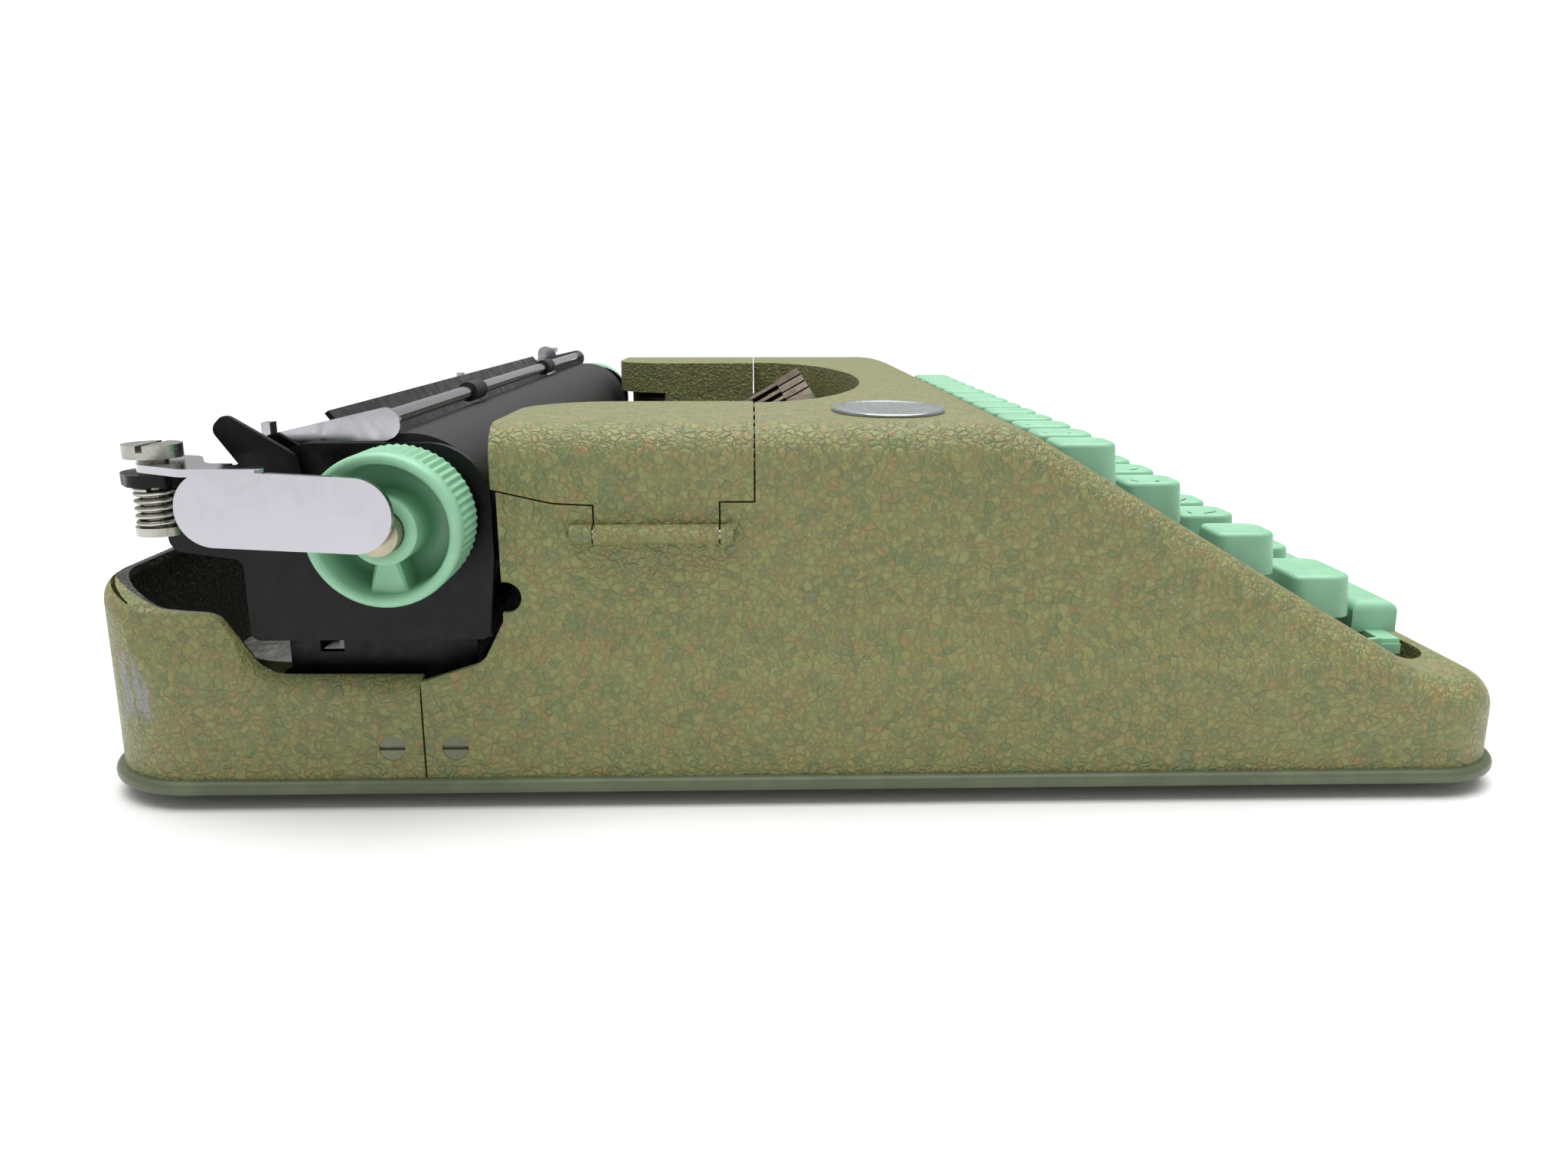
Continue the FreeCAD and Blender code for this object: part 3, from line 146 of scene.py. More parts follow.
# %% [markdown]
# ## Table and light
# The table is a large matt white sheet. It belongs to the stage, so it is not part of the
# model. Most of the light comes from one square softbox overhead. The white walls fill the
# shadows and give polished metal something to mirror.

# %% Table
table_data = bpy.data.meshes.new("table")
REACH = 1.15         # half the table, which stays under the softbox
table_data.from_pydata(
    [(-REACH, -REACH, 0), (REACH, -REACH, 0), (REACH, REACH, 0), (-REACH, REACH, 0)],
    [], [(0, 1, 2, 3)])
table = bpy.data.objects.new("table", table_data)
scene.collection.objects.link(table)
table_finish, tree, shader, mm = new_finish("white_studio_sheet", 0.0, 0.9)
shader.inputs["Base Color"].default_value = colour("#f6f6f5")
table_data.materials.append(table_finish)

# %% Softboxes and sky
SOFTBOXES = [
    # name, place, size in metres, power in watts
    ("overhead", (0.1, 0.0, 1.8), 2.4, 64.0),
]
for name, place, size, power in SOFTBOXES:
    light = bpy.data.lights.new(name, "AREA")
    light.size = size
    light.energy = power
    lamp = bpy.data.objects.new(name, light)
    lamp.rotation_mode = "QUATERNION"
    lamp.location = place
    lamp.rotation_quaternion = (-Vector(place)).to_track_quat("-Z", "Y")
    scene.collection.objects.link(lamp)

world = bpy.data.worlds.new("white_room")
scene.world = world
world.use_nodes = True
sky = world.node_tree
ROOM_LIGHT = 0.5
dim = add(sky, "Background", {"Color": (1, 1, 1, 1), "Strength": ROOM_LIGHT})
white = add(sky, "Background", {"Color": (1, 1, 1, 1), "Strength": 1.0})
seen = add(sky, "LightPath").outputs["Is Camera Ray"]
room = add(sky, "MixShader", {0: seen, 1: dim.outputs[0], 2: white.outputs[0]})
sky.links.new(room.outputs[0], sky.nodes["World Output"].inputs["Surface"])
print("studio:", len(SOFTBOXES), "softboxes")

# %% [markdown]
# ## Case paint: olive wrinkle enamel
# The steel shells wear a stoved wrinkle enamel. As it bakes, the skin of the paint shrinks and
# gathers into small worm-like cells under 2 mm across, and the pigments float apart, so
# warm ochre and cold green specks sit side by side in the olive. Cells come from a Voronoi
# pattern whose coordinates are stirred by noise; the cell's own random value picks the speck
# colour, and the distance to the cell's edge gives the groove. The grooves are darkened as
# painted shade, and the highest points of the fine grain are paled as a painted highlight.

# %% Wrinkle enamel
CELL_MM = 1.7        # width of one wrinkle
CLOUD_MM = 18.0      # width of the soft patches of tone
STIR_MM = 1.1        # how far noise bends the wrinkles


def wrinkle_enamel():
    material, tree, shader, mm = new_finish("olive_wrinkle_enamel", 0.0, 0.42)
    stir = add(tree, "TexNoise", {"Vector": mm, "Scale": 0.55, "Detail": 2.0})
    centred = add(tree, "VectorMath", {0: stir.outputs["Color"], 1: (0.5, 0.5, 0.5)},
                  operation="SUBTRACT").outputs[0]
    bent = add(tree, "VectorMath", {0: centred, 1: (STIR_MM * 2.4,) * 3, 2: mm},
               operation="MULTIPLY_ADD").outputs[0]
    cells = add(tree, "TexVoronoi", {"Vector": bent, "Scale": 1 / CELL_MM})
    groove = add(tree, "TexVoronoi", {"Vector": bent, "Scale": 1 / CELL_MM},
                 feature="DISTANCE_TO_EDGE")
    cloud = add(tree, "TexNoise", {"Vector": mm, "Scale": 1 / CLOUD_MM, "Detail": 3.0})
    grain = add(tree, "TexNoise", {"Vector": mm, "Scale": 1.7, "Detail": 3.0})
    speck = add(tree, "SeparateColor", {0: cells.outputs["Color"]})
    warm = add(tree, "MapRange", {0: speck.outputs[0], 1: 0.45, 2: 1.0, 3: 0.0, 4: 0.75})
    cold = add(tree, "MapRange", {0: speck.outputs[1], 1: 0.5, 2: 1.0, 3: 0.0, 4: 0.7})
    base = add(tree, "Mix", {0: cloud.outputs[0], MIX_A: colour("#7f804b"),
                             MIX_B: colour("#868855")}, data_type="RGBA")
    ochre = add(tree, "Mix", {0: warm.outputs[0], MIX_A: base.outputs[MIX_OUT],
                              MIX_B: colour("#88754a")}, data_type="RGBA")
    green = add(tree, "Mix", {0: cold.outputs[0], MIX_A: ochre.outputs[MIX_OUT],
                              MIX_B: colour("#5f7049")}, data_type="RGBA")
    # painted shade: the colour darkens towards #484b2e in the grooves at the cells' edges
    shade = add(tree, "MapRange", {0: groove.outputs[0], 1: 0.0, 2: 0.2, 3: 0.3, 4: 0.0})
    groove_shaded = add(tree, "Mix", {0: shade.outputs[0], MIX_A: green.outputs[MIX_OUT],
                              MIX_B: colour("#484b2e")}, data_type="RGBA")
    # painted highlight: where the fine grain is highest, which the bump also raises, the paint
    # turns pale (#989b70)
    light = add(tree, "MapRange", {0: grain.outputs[0], 1: 0.58, 2: 0.8, 3: 0.0, 4: 0.4})
    grain_highlighted = add(tree, "Mix", {0: light.outputs[0], MIX_A: groove_shaded.outputs[MIX_OUT],
                                MIX_B: colour("#989b70")}, data_type="RGBA").outputs[MIX_OUT]
    wear = worn_steel_mask(tree, mm)
    worn = add(tree, "Mix", {0: wear, MIX_A: grain_highlighted, MIX_B: colour("#8a8b90")},
               data_type="RGBA").outputs[MIX_OUT]
    # painted shade: the rear shell's inside turns near black (#14140f)
    inside = add(tree, "Mix", {0: painted_shade_inside_mask(tree, mm), MIX_A: worn,
                               MIX_B: colour("#14140f")}, data_type="RGBA").outputs[MIX_OUT]
    tree.links.new(inside, shader.inputs["Base Color"])
    crown = add(tree, "MapRange", {0: groove.outputs[0], 1: 0.0, 2: 0.3, 3: 0.0, 4: 1.0})
    height = add(tree, "Math", {0: grain.outputs[0], 1: 0.55, 2: crown.outputs[0]},
                 operation="MULTIPLY_ADD")
    bump = add(tree, "Bump", {"Height": height.outputs[0], "Strength": 0.8,
                              "Distance": 0.3 * MM})
    tree.links.new(bump.outputs[0], shader.inputs["Normal"])
    gloss = add(tree, "MapRange", {0: cloud.outputs[0], 1: 0.3, 2: 0.7, 3: 0.36, 4: 0.5})
    tree.links.new(gloss.outputs[0], shader.inputs["Roughness"])
    return material


# %% [markdown]
# Wear belongs to places, not to the whole surface. The rear left corner has been knocked until
# bare steel shows, and a few bright scratches cross the left side. A scratch is a short line
# from one point to another, and its mask is one minus the distance to that line over its
# half width.

# %% Where the paint is worn
SCRATCHES = [
    # two ends of each scratch, in millimetres on the left wall
    ((-140, -58.0, 48.5), (-140, -58.8, 44.5)),
    ((-140, -71.5, 44.5), (-140, -73.2, 40.0)),
    ((-140, -77.0, 40.5), (-140, -78.2, 37.0)),
    ((-140, -86.6, 33.2), (-140, -87.4, 30.6)),
    ((-140, -92.4, 30.4), (-140, -93.4, 26.4)),
    ((-140, -36.0, 47.2), (-140, -36.4, 44.8)),
]
SCRATCH_HALF_MM = 0.16
LEFT_OF_X = -120.0   # scratches lie on the left side only
KNOCK = (-138.0, 136.0, 24.0)
KNOCK_MM = 17.0


def worn_steel_mask(tree, mm):
    """1 where bare metal shows: near the knocked corner in broken patches, and on scratches."""
    away = add(tree, "VectorMath", {0: mm, 1: KNOCK}, operation="DISTANCE").outputs["Value"]
    near = add(tree, "MapRange", {0: away, 1: KNOCK_MM, 2: 2.0, 3: 0.0, 4: 1.0}).outputs[0]
    upright = add(tree, "Mapping", {"Vector": mm, "Scale": (1.0, 1.0, 0.35)}).outputs[0]
    patches = add(tree, "TexNoise", {"Vector": upright, "Scale": 0.42, "Detail": 5.0}).outputs[0]
    rough = add(tree, "Math", {0: patches, 1: near}, operation="MULTIPLY").outputs[0]
    mask = add(tree, "MapRange", {0: rough, 1: 0.33, 2: 0.46, 3: 0.0, 4: 0.7}).outputs[0]
    broken = add(tree, "TexNoise", {"Vector": mm, "Scale": 1.3, "Detail": 1.0}).outputs[0]
    side = add(tree, "SeparateXYZ", {0: mm}).outputs[0]
    left = add(tree, "Math", {0: side, 1: LEFT_OF_X}, operation="LESS_THAN").outputs[0]
    for start, stop in SCRATCHES:
        a, b = np.array(start), np.array(stop)
        span = b - a
        from_a = add(tree, "VectorMath", {0: mm, 1: tuple(a)}, operation="SUBTRACT").outputs[0]
        along = add(tree, "VectorMath", {0: from_a, 1: tuple(span / (span @ span))},
                    operation="DOT_PRODUCT").outputs["Value"]
        held = add(tree, "Clamp", {"Value": along}).outputs[0]
        foot = add(tree, "VectorMath", {0: tuple(span), "Scale": held}, operation="SCALE")
        gap = add(tree, "VectorMath", {0: from_a, 1: foot.outputs[0]}, operation="SUBTRACT")
        flat = add(tree, "VectorMath", {0: gap.outputs[0], 1: (0.0, 1.0, 1.0)},
                   operation="MULTIPLY")
        width = add(tree, "VectorMath", {0: flat.outputs[0]}, operation="LENGTH")
        line = add(tree, "MapRange", {0: width.outputs["Value"], 1: SCRATCH_HALF_MM, 2: 0.0,
                                      3: 0.0, 4: 1.2}).outputs[0]
        kept = add(tree, "Math", {0: line, 1: left}, operation="MULTIPLY").outputs[0]
        ragged = add(tree, "Math", {0: kept, 1: broken}, operation="MULTIPLY").outputs[0]
        mask = add(tree, "Math", {0: mask, 1: ragged}, operation="MAXIMUM").outputs[0]
    return mask


# %% [markdown]
# Inside, the rear shell is coloured near black, a painted shade for its dark hollow. The inside
# is told from the outside by depth: behind the seam the case is close to a box with rounded
# edges, and paint more than a sheet's thickness below that form gets the painted shade. The
# depth of a rounded box is the length of the part of the vector that lies outside a smaller
# box, minus the radius. It is worked out twice, once in plan for the upright corners and once
# in height for the top edges.

# %% Painted shade inside the rear shell
WALL_X, WALL_Y, TOP_Z = 136.8, 145.0, 76.8
ROUND_MM, CORNER_MM = 7.0, 20.0     # top edges, and the upright rear corners
SKIN_MM, FADE_MM = 1.15, 0.3        # depth where the painted shade starts, and over which it grows
PAINTED_SHADE_FROM_Y = 77.6                 # only the rear shell gets the painted shade


def painted_shade_inside_mask(tree, mm):
    """1 where the point lies deeper than SKIN_MM below the rounded outer form: there shade is
    painted.
    """
    size = add(tree, "VectorMath", {0: mm}, operation="ABSOLUTE").outputs[0]
    wide = add(tree, "SeparateXYZ", {0: size})
    place = add(tree, "SeparateXYZ", {0: mm})
    up = add(tree, "Math", {0: place.outputs[2], 1: TOP_Z - ROUND_MM},
             operation="SUBTRACT").outputs[0]
    out = add(tree, "Math", {0: wide.outputs[0], 1: WALL_X - CORNER_MM}, operation="SUBTRACT")
    back = add(tree, "Math", {0: wide.outputs[1], 1: WALL_Y - CORNER_MM}, operation="SUBTRACT")
    corner = add(tree, "CombineXYZ", {0: out.outputs[0], 1: back.outputs[0], 2: 0.0})
    kept = add(tree, "VectorMath", {0: corner.outputs[0], 1: (0, 0, 0)}, operation="MAXIMUM")
    plan = add(tree, "VectorMath", {0: kept.outputs[0]}, operation="LENGTH")
    wall = add(tree, "Math", {0: plan.outputs["Value"], 1: CORNER_MM - ROUND_MM},
               operation="SUBTRACT")
    edge = add(tree, "CombineXYZ", {0: wall.outputs[0], 1: up, 2: 0.0})
    near = add(tree, "VectorMath", {0: edge.outputs[0], 1: (0, 0, 0)}, operation="MAXIMUM")
    length = add(tree, "VectorMath", {0: near.outputs[0]}, operation="LENGTH")
    deep = add(tree, "MapRange", {0: length.outputs["Value"], 1: ROUND_MM - SKIN_MM,
                                  2: ROUND_MM - SKIN_MM - FADE_MM, 3: 0.0, 4: 1.0}).outputs[0]
    behind = add(tree, "Math", {0: place.outputs[1], 1: PAINTED_SHADE_FROM_Y}, operation="GREATER_THAN")
    return add(tree, "Math", {0: deep, 1: behind.outputs[0]}, operation="MULTIPLY").outputs[0]


WRINKLE = wrinkle_enamel()
print("wrinkle enamel with", len(SCRATCHES), "scratches")

# %% [markdown]
# ## Key and knob plastic
# The caps and the platen knobs are moulded in a mint green melamine-like plastic: hard, glossy
# when new, and by now dulled where fingers rub. The colour is even, so most of the life comes
# from small changes of gloss, a faint cloud in the pigment and the skin left by the mould.


# %% Mint plastic
def moulded_plastic(name, code, aged_code, roughness):
    material, tree, shader, mm = new_finish(name, 0.0, roughness)
    cloud = add(tree, "TexNoise", {"Vector": mm, "Scale": 0.12, "Detail": 3.0}).outputs[0]
    tone = add(tree, "MapRange", {0: cloud, 1: 0.35, 2: 0.75, 3: 0.0, 4: 1.0}).outputs[0]
    base = add(tree, "Mix", {0: tone, MIX_A: colour(code), MIX_B: colour(aged_code)},
               data_type="RGBA").outputs[MIX_OUT]
    tree.links.new(base, shader.inputs["Base Color"])
    rub = add(tree, "TexNoise", {"Vector": mm, "Scale": 0.9, "Detail": 4.0}).outputs[0]
    gloss = add(tree, "MapRange", {0: rub, 1: 0.3, 2: 0.7, 3: roughness - 0.08,
                                   4: roughness + 0.14}).outputs[0]
    tree.links.new(gloss, shader.inputs["Roughness"])
    mould_skin = add(tree, "TexNoise", {"Vector": mm, "Scale": 2.6, "Detail": 2.0}).outputs[0]
    bump = add(tree, "Bump", {"Height": mould_skin, "Strength": 0.12, "Distance": 0.05 * MM})
    tree.links.new(bump.outputs[0], shader.inputs["Normal"])
    return material


MINT = moulded_plastic("mint_moulded_plastic", "#8cc09e", "#80b291", 0.36)
LEGEND_INK = moulded_plastic("dark_filled_mark", "#1d2a24", "#27332c", 0.5)
print("plastics:", MINT.name, LEGEND_INK.name)

# %% [markdown]
# ## Bright metals
# The return lever is chromium on polished brass: nearly a mirror, with finger smears and a few
# pin-point pits where the plating has failed. Levers and rails under the case are plain bright
# steel, drawn or rolled, with fine lines along them. A metal keeps the default index of
# refraction; its colour and roughness do the work.

# %% Chromium plate
PIT_MM = 4.2         # one pit in each patch of this size at most


def chromium_plate():
    material, tree, shader, mm = new_finish("chromium_plate", 1.0, 0.09)
    smear = add(tree, "TexNoise", {"Vector": mm, "Scale": 0.16, "Detail": 5.0,
                                   "Distortion": 1.2}).outputs[0]
    gloss = add(tree, "MapRange", {0: smear, 1: 0.35, 2: 0.7, 3: 0.06, 4: 0.2}).outputs[0]
    tree.links.new(gloss, shader.inputs["Roughness"])
    pits = add(tree, "TexVoronoi", {"Vector": mm, "Scale": 1 / PIT_MM})
    near = add(tree, "MapRange", {0: pits.outputs["Distance"], 1: 0.05, 2: 0.02, 3: 0.0, 4: 1.0})
    chance = add(tree, "SeparateColor", {0: pits.outputs["Color"]}).outputs[0]
    rare = add(tree, "Math", {0: chance, 1: 0.72}, operation="GREATER_THAN").outputs[0]
    pit = add(tree, "Math", {0: near.outputs[0], 1: rare}, operation="MULTIPLY").outputs[0]
    base = add(tree, "Mix", {0: pit, MIX_A: colour("#afafb5"), MIX_B: colour("#4a3a33")},
               data_type="RGBA").outputs[MIX_OUT]
    tree.links.new(base, shader.inputs["Base Color"])
    ripple = add(tree, "TexNoise", {"Vector": mm, "Scale": 0.07, "Detail": 1.0}).outputs[0]
    bump = add(tree, "Bump", {"Height": ripple, "Strength": 0.25, "Distance": 0.4 * MM})
    tree.links.new(bump.outputs[0], shader.inputs["Normal"])
    return material


# %% Drawn and turned metals
def drawn_metal(name, code, dull_code, roughness, grain):
    """Metal with fine lines; grain holds the lines per millimetre along X, Y and Z."""
    material, tree, shader, mm = new_finish(name, 1.0, roughness)
    stretched = add(tree, "Mapping", {"Vector": mm, "Scale": grain}).outputs[0]
    lines = add(tree, "TexNoise", {"Vector": stretched, "Scale": 1.0, "Detail": 4.0}).outputs[0]
    stain = add(tree, "TexNoise", {"Vector": mm, "Scale": 0.2, "Detail": 4.0}).outputs[0]
    aged = add(tree, "MapRange", {0: stain, 1: 0.45, 2: 0.75, 3: 0.0, 4: 0.9}).outputs[0]
    base = add(tree, "Mix", {0: aged, MIX_A: colour(code), MIX_B: colour(dull_code)},
               data_type="RGBA").outputs[MIX_OUT]
    tree.links.new(base, shader.inputs["Base Color"])
    gloss = add(tree, "MapRange", {0: lines, 1: 0.3, 2: 0.7, 3: roughness - 0.08,
                                   4: roughness + 0.12}).outputs[0]
    tree.links.new(gloss, shader.inputs["Roughness"])
    bump = add(tree, "Bump", {"Height": lines, "Strength": 0.15, "Distance": 0.04 * MM})
    tree.links.new(bump.outputs[0], shader.inputs["Normal"])
    return material


CHROME = chromium_plate()
BRIGHT_STEEL = drawn_metal("drawn_bright_steel", "#a9a8a2", "#7b776d", 0.32, (0.2, 2.5, 2.5))
TYPE_STEEL = drawn_metal("blued_type_steel", "#5f584e", "#3b352d", 0.34, (2.5, 0.4, 0.4))
SCREW_STEEL = drawn_metal("nickelled_screw_steel", "#b3b2aa", "#857f70", 0.26, (3.0, 3.0, 3.0))
SHAFT_STEEL = drawn_metal("brassed_shaft_steel", "#aaa58f", "#8a8068", 0.3, (3.0, 0.3, 0.3))
BADGE_METAL = drawn_metal("satin_aluminium", "#a3a9a8", "#959b9a", 0.38, (0.15, 4.0, 4.0))
BELL_METAL = drawn_metal("nickelled_bell", "#bdb9ad", "#948c7a", 0.2, (0.8, 0.8, 0.8))
print("metals ready")

# %% [markdown]
# ## Black pieces and plain enamels
# Chassis and carriage are japanned: a thick black stoving enamel, semi-gloss and slightly
# orange-peeled, with dust settled on it. The platen is ground black rubber, matt, with lines
# round it from the grinding wheel. Feet are the same rubber, moulded. The ribbon is inked
# cloth: a plain weave about 0.3 mm apart. The tray and the screw heads wear a smooth enamel.


# %% Black enamel
def black_enamel():
    material, tree, shader, mm = new_finish("black_stoved_enamel", 0.0, 0.3)
    shader.inputs["Specular IOR Level"].default_value = 0.22
    dust = add(tree, "TexNoise", {"Vector": mm, "Scale": 0.3, "Detail": 6.0}).outputs[0]
    settled = add(tree, "MapRange", {0: dust, 1: 0.5, 2: 0.8, 3: 0.0, 4: 0.2}).outputs[0]
    base = add(tree, "Mix", {0: settled, MIX_A: colour("#0a0a0b"), MIX_B: colour("#2a2825")},
               data_type="RGBA").outputs[MIX_OUT]
    tree.links.new(base, shader.inputs["Base Color"])
    gloss = add(tree, "MapRange", {0: dust, 1: 0.35, 2: 0.75, 3: 0.24, 4: 0.5}).outputs[0]
    tree.links.new(gloss, shader.inputs["Roughness"])
    peel = add(tree, "TexNoise", {"Vector": mm, "Scale": 0.9, "Detail": 1.0}).outputs[0]
    bump = add(tree, "Bump", {"Height": peel, "Strength": 0.2, "Distance": 0.08 * MM})
    tree.links.new(bump.outputs[0], shader.inputs["Normal"])
    return material


# %% Rubber and ribbon
def rubber(name, code, worn_code, stretch):
    """Matt rubber; stretch draws its noise out into lines, as grinding does."""
    material, tree, shader, mm = new_finish(name, 0.0, 0.62)
    drawn = add(tree, "Mapping", {"Vector": mm, "Scale": stretch}).outputs[0]
    lines = add(tree, "TexNoise", {"Vector": drawn, "Scale": 1.0, "Detail": 4.0}).outputs[0]
    base = add(tree, "Mix", {0: lines, MIX_A: colour(code), MIX_B: colour(worn_code)},
               data_type="RGBA").outputs[MIX_OUT]
    tree.links.new(base, shader.inputs["Base Color"])
    bump = add(tree, "Bump", {"Height": lines, "Strength": 0.3, "Distance": 0.06 * MM})
    tree.links.new(bump.outputs[0], shader.inputs["Normal"])
    return material


WEAVE_MM = 0.6       # thread pair; the real 0.3 mm weave is drawn coarser so that it shows


def inked_cloth():
    material, tree, shader, mm = new_finish("inked_ribbon_cloth", 0.0, 0.75)
    wefts = add(tree, "TexWave", {"Vector": mm, "Scale": 0.31 / WEAVE_MM}, bands_direction="Z")
    warps = add(tree, "TexWave", {"Vector": mm, "Scale": 0.31 / WEAVE_MM}, bands_direction="X")
    weave = add(tree, "Math", {0: wefts.outputs["Fac"], 1: warps.outputs["Fac"]},
                operation="MULTIPLY").outputs[0]
    base = add(tree, "Mix", {0: weave, MIX_A: colour("#0c0c0f"), MIX_B: colour("#22222a")},
               data_type="RGBA").outputs[MIX_OUT]
    tree.links.new(base, shader.inputs["Base Color"])
    bump = add(tree, "Bump", {"Height": weave, "Strength": 0.4, "Distance": 0.08 * MM})
    tree.links.new(bump.outputs[0], shader.inputs["Normal"])
    shader.inputs["Sheen Weight"].default_value = 0.2
    return material


# %% Smooth enamels
def smooth_enamel(name, code, chalked_code, roughness):
    """Plain brushed-on or dipped enamel, a little chalky in patches a centimetre across."""
    material, tree, shader, mm = new_finish(name, 0.0, roughness)
    chalk = add(tree, "TexNoise", {"Vector": mm, "Scale": 0.11, "Detail": 5.0}).outputs[0]
    patch = add(tree, "MapRange", {0: chalk, 1: 0.4, 2: 0.65, 3: 0.0, 4: 1.0}).outputs[0]
    base = add(tree, "Mix", {0: patch, MIX_A: colour(code), MIX_B: colour(chalked_code)},
               data_type="RGBA").outputs[MIX_OUT]
    tree.links.new(base, shader.inputs["Base Color"])
    grain = add(tree, "TexNoise", {"Vector": mm, "Scale": 1.4, "Detail": 3.0}).outputs[0]
    bump = add(tree, "Bump", {"Height": grain, "Strength": 0.3, "Distance": 0.08 * MM})
    tree.links.new(bump.outputs[0], shader.inputs["Normal"])
    return material


TRAY_ENAMEL = smooth_enamel("grey_green_tray_enamel", "#535b43", "#5d664b", 0.42)
SCREW_ENAMEL = smooth_enamel("olive_screw_enamel", "#66694f", "#74775f", 0.4)
BLACK = black_enamel()
PLATEN_RUBBER = rubber("ground_platen_rubber", "#0e0f0e", "#1d1e1c", (6.0, 0.3, 0.3))
FOOT_RUBBER = rubber("moulded_foot_rubber", "#171716", "#26251f", (0.8, 0.8, 0.8))
RIBBON = inked_cloth()
print("black finishes ready")

# %% [markdown]
# ## Finishing the frame's own pieces
# Pieces whose shape is right stay as they are and only get their finish. Pressed and milled
# pieces have a broken edge in reality, a few tenths of a millimetre that catches the light,
# so those pieces are copied, their loose triangles merged into faces, and a Bevel modifier
# rounds what is sharp. The copy then stands for the original.

# %% A finish for every node
FINISHES = {
    "case_paint": WRINKLE, "rubber": FOOT_RUBBER, "plate_silver": BADGE_METAL,
    "screw_steel": SCREW_STEEL, "chassis_black": BLACK, "bare_steel": BRIGHT_STEEL,
    "bell_metal": BELL_METAL, "ribbon_cloth": RIBBON, "platen_rubber": PLATEN_RUBBER,
    "key_plastic": MINT, "chrome": CHROME, "lever_paint": BLACK,
}
SLOT_OF = {row["node"]: row["material_slot"] for row in frame["record"]["subparts"]}
OWN_FINISH = {"base_plate": TRAY_ENAMEL, "shell_screws": SCREW_ENAMEL, "typebars": TYPE_STEEL,
              "moving_typebar": TYPE_STEEL, "type_segment": TYPE_STEEL,
              "platen_shaft": SHAFT_STEEL}


def finish_of(name):
    return OWN_FINISH.get(name) or FINISHES[SLOT_OF[name]]


for name, piece in frame["nodes"].items():
    if not piece.data.materials:
        piece.data.materials.append(None)
    for i in range(len(piece.data.materials)):
        piece.data.materials[i] = finish_of(name)
print(len(frame["nodes"]), "nodes finished")

# %% A copy with broken edges
BODY_OF = {name: piece["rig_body"] for name, piece in frame["nodes"].items()}
SHARP_DEG, FLAT_DEG = 35, 0.5
SAME_POINT = 1e-6    # metres


def broken_edges(name, width_mm, segments=2):
    """Copy of a node: points merged, flat areas joined, and its sharp edges bevelled."""
    mesh = frame["nodes"][name].data.copy()
    work = bmesh.new()
    work.from_mesh(mesh)
    bmesh.ops.remove_doubles(work, verts=work.verts, dist=SAME_POINT)
    bmesh.ops.dissolve_limit(work, angle_limit=math.radians(FLAT_DEG), verts=work.verts,
                             edges=work.edges)
    work.to_mesh(mesh)
    work.free()
    mesh.shade_smooth()
    mesh.set_sharp_from_angle(angle=math.radians(SHARP_DEG))
    piece = bpy.data.objects.new(name + "_finished", mesh)
    scene.collection.objects.link(piece)
    bevel = piece.modifiers.new("broken_edge", "BEVEL")
    bevel.width = width_mm * MM
    bevel.segments = segments
    bevel.limit_method = "ANGLE"
    bevel.angle_limit = math.radians(SHARP_DEG)
    bevel.harden_normals = True
    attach(piece, BODY_OF[name])
    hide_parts(name)
    return piece


BROKEN_MM = {"return_lever": 0.35, "carriage_end_left": 0.3, "carriage_end_right": 0.3,
             "line_space_lever": 0.25, "paper_release_lever": 0.25,
             "carriage_release_lever": 0.25}
for name, width in BROKEN_MM.items():
    made = broken_edges(name, width)
    print(made.name, len(made.data.polygons), "faces")

# %% [markdown]
# ## Surfaces from formulas
# The remaining pieces are drawn by formula. A ring of points is carried along a path, and
# neighbouring rings are joined by four-sided faces. One function joins the rings, one makes
# the mesh and hands it to its body. The signed volume of a closed mesh is positive when its
# faces look outwards, so a negative one means the faces have to be turned.


# %% Rings to mesh
def skin(rings, ring_path=False):
    """Faces over rings[i, j]: point j joins j+1, ring i joins i+1. Open stacks get end caps."""
    count, around = rings.shape[:2]
    last = count if ring_path else count - 1
    i, j = np.meshgrid(np.arange(last), np.arange(around), indexing="ij")
    over, beside = (i + 1) % count, (j + 1) % around
    quads = np.stack([i * around + j, i * around + beside, over * around + beside,
                      over * around + j], -1).reshape(-1, 4).tolist()
    if not ring_path:
        quads.append(list(range(around))[::-1])
        quads.append(list(range((count - 1) * around, count * around)))
    return rings.reshape(-1, 3), quads


def signed_volume(points, faces):
    """Sum over faces of a fan of triangles: a . (b x c) / 6."""
    fans = [(f[0], f[k], f[k + 1]) for f in faces for k in range(1, len(f) - 1)]
    a, b, c = points[np.array(fans)].transpose(1, 0, 2)
    return float(np.einsum("ij,ij->i", a, np.cross(b, c)).sum() / 6)


def joined(parts):
    """Several (points, faces) as one, each turned to look outwards."""
    points, faces, base = [], [], 0
    for part_points, part_faces in parts:
        if signed_volume(part_points, part_faces) < 0:
            part_faces = [face[::-1] for face in part_faces]
        points.append(part_points)
        faces.extend([[k + base for k in face] for face in part_faces])
        base += len(part_points)
    return np.concatenate(points), faces


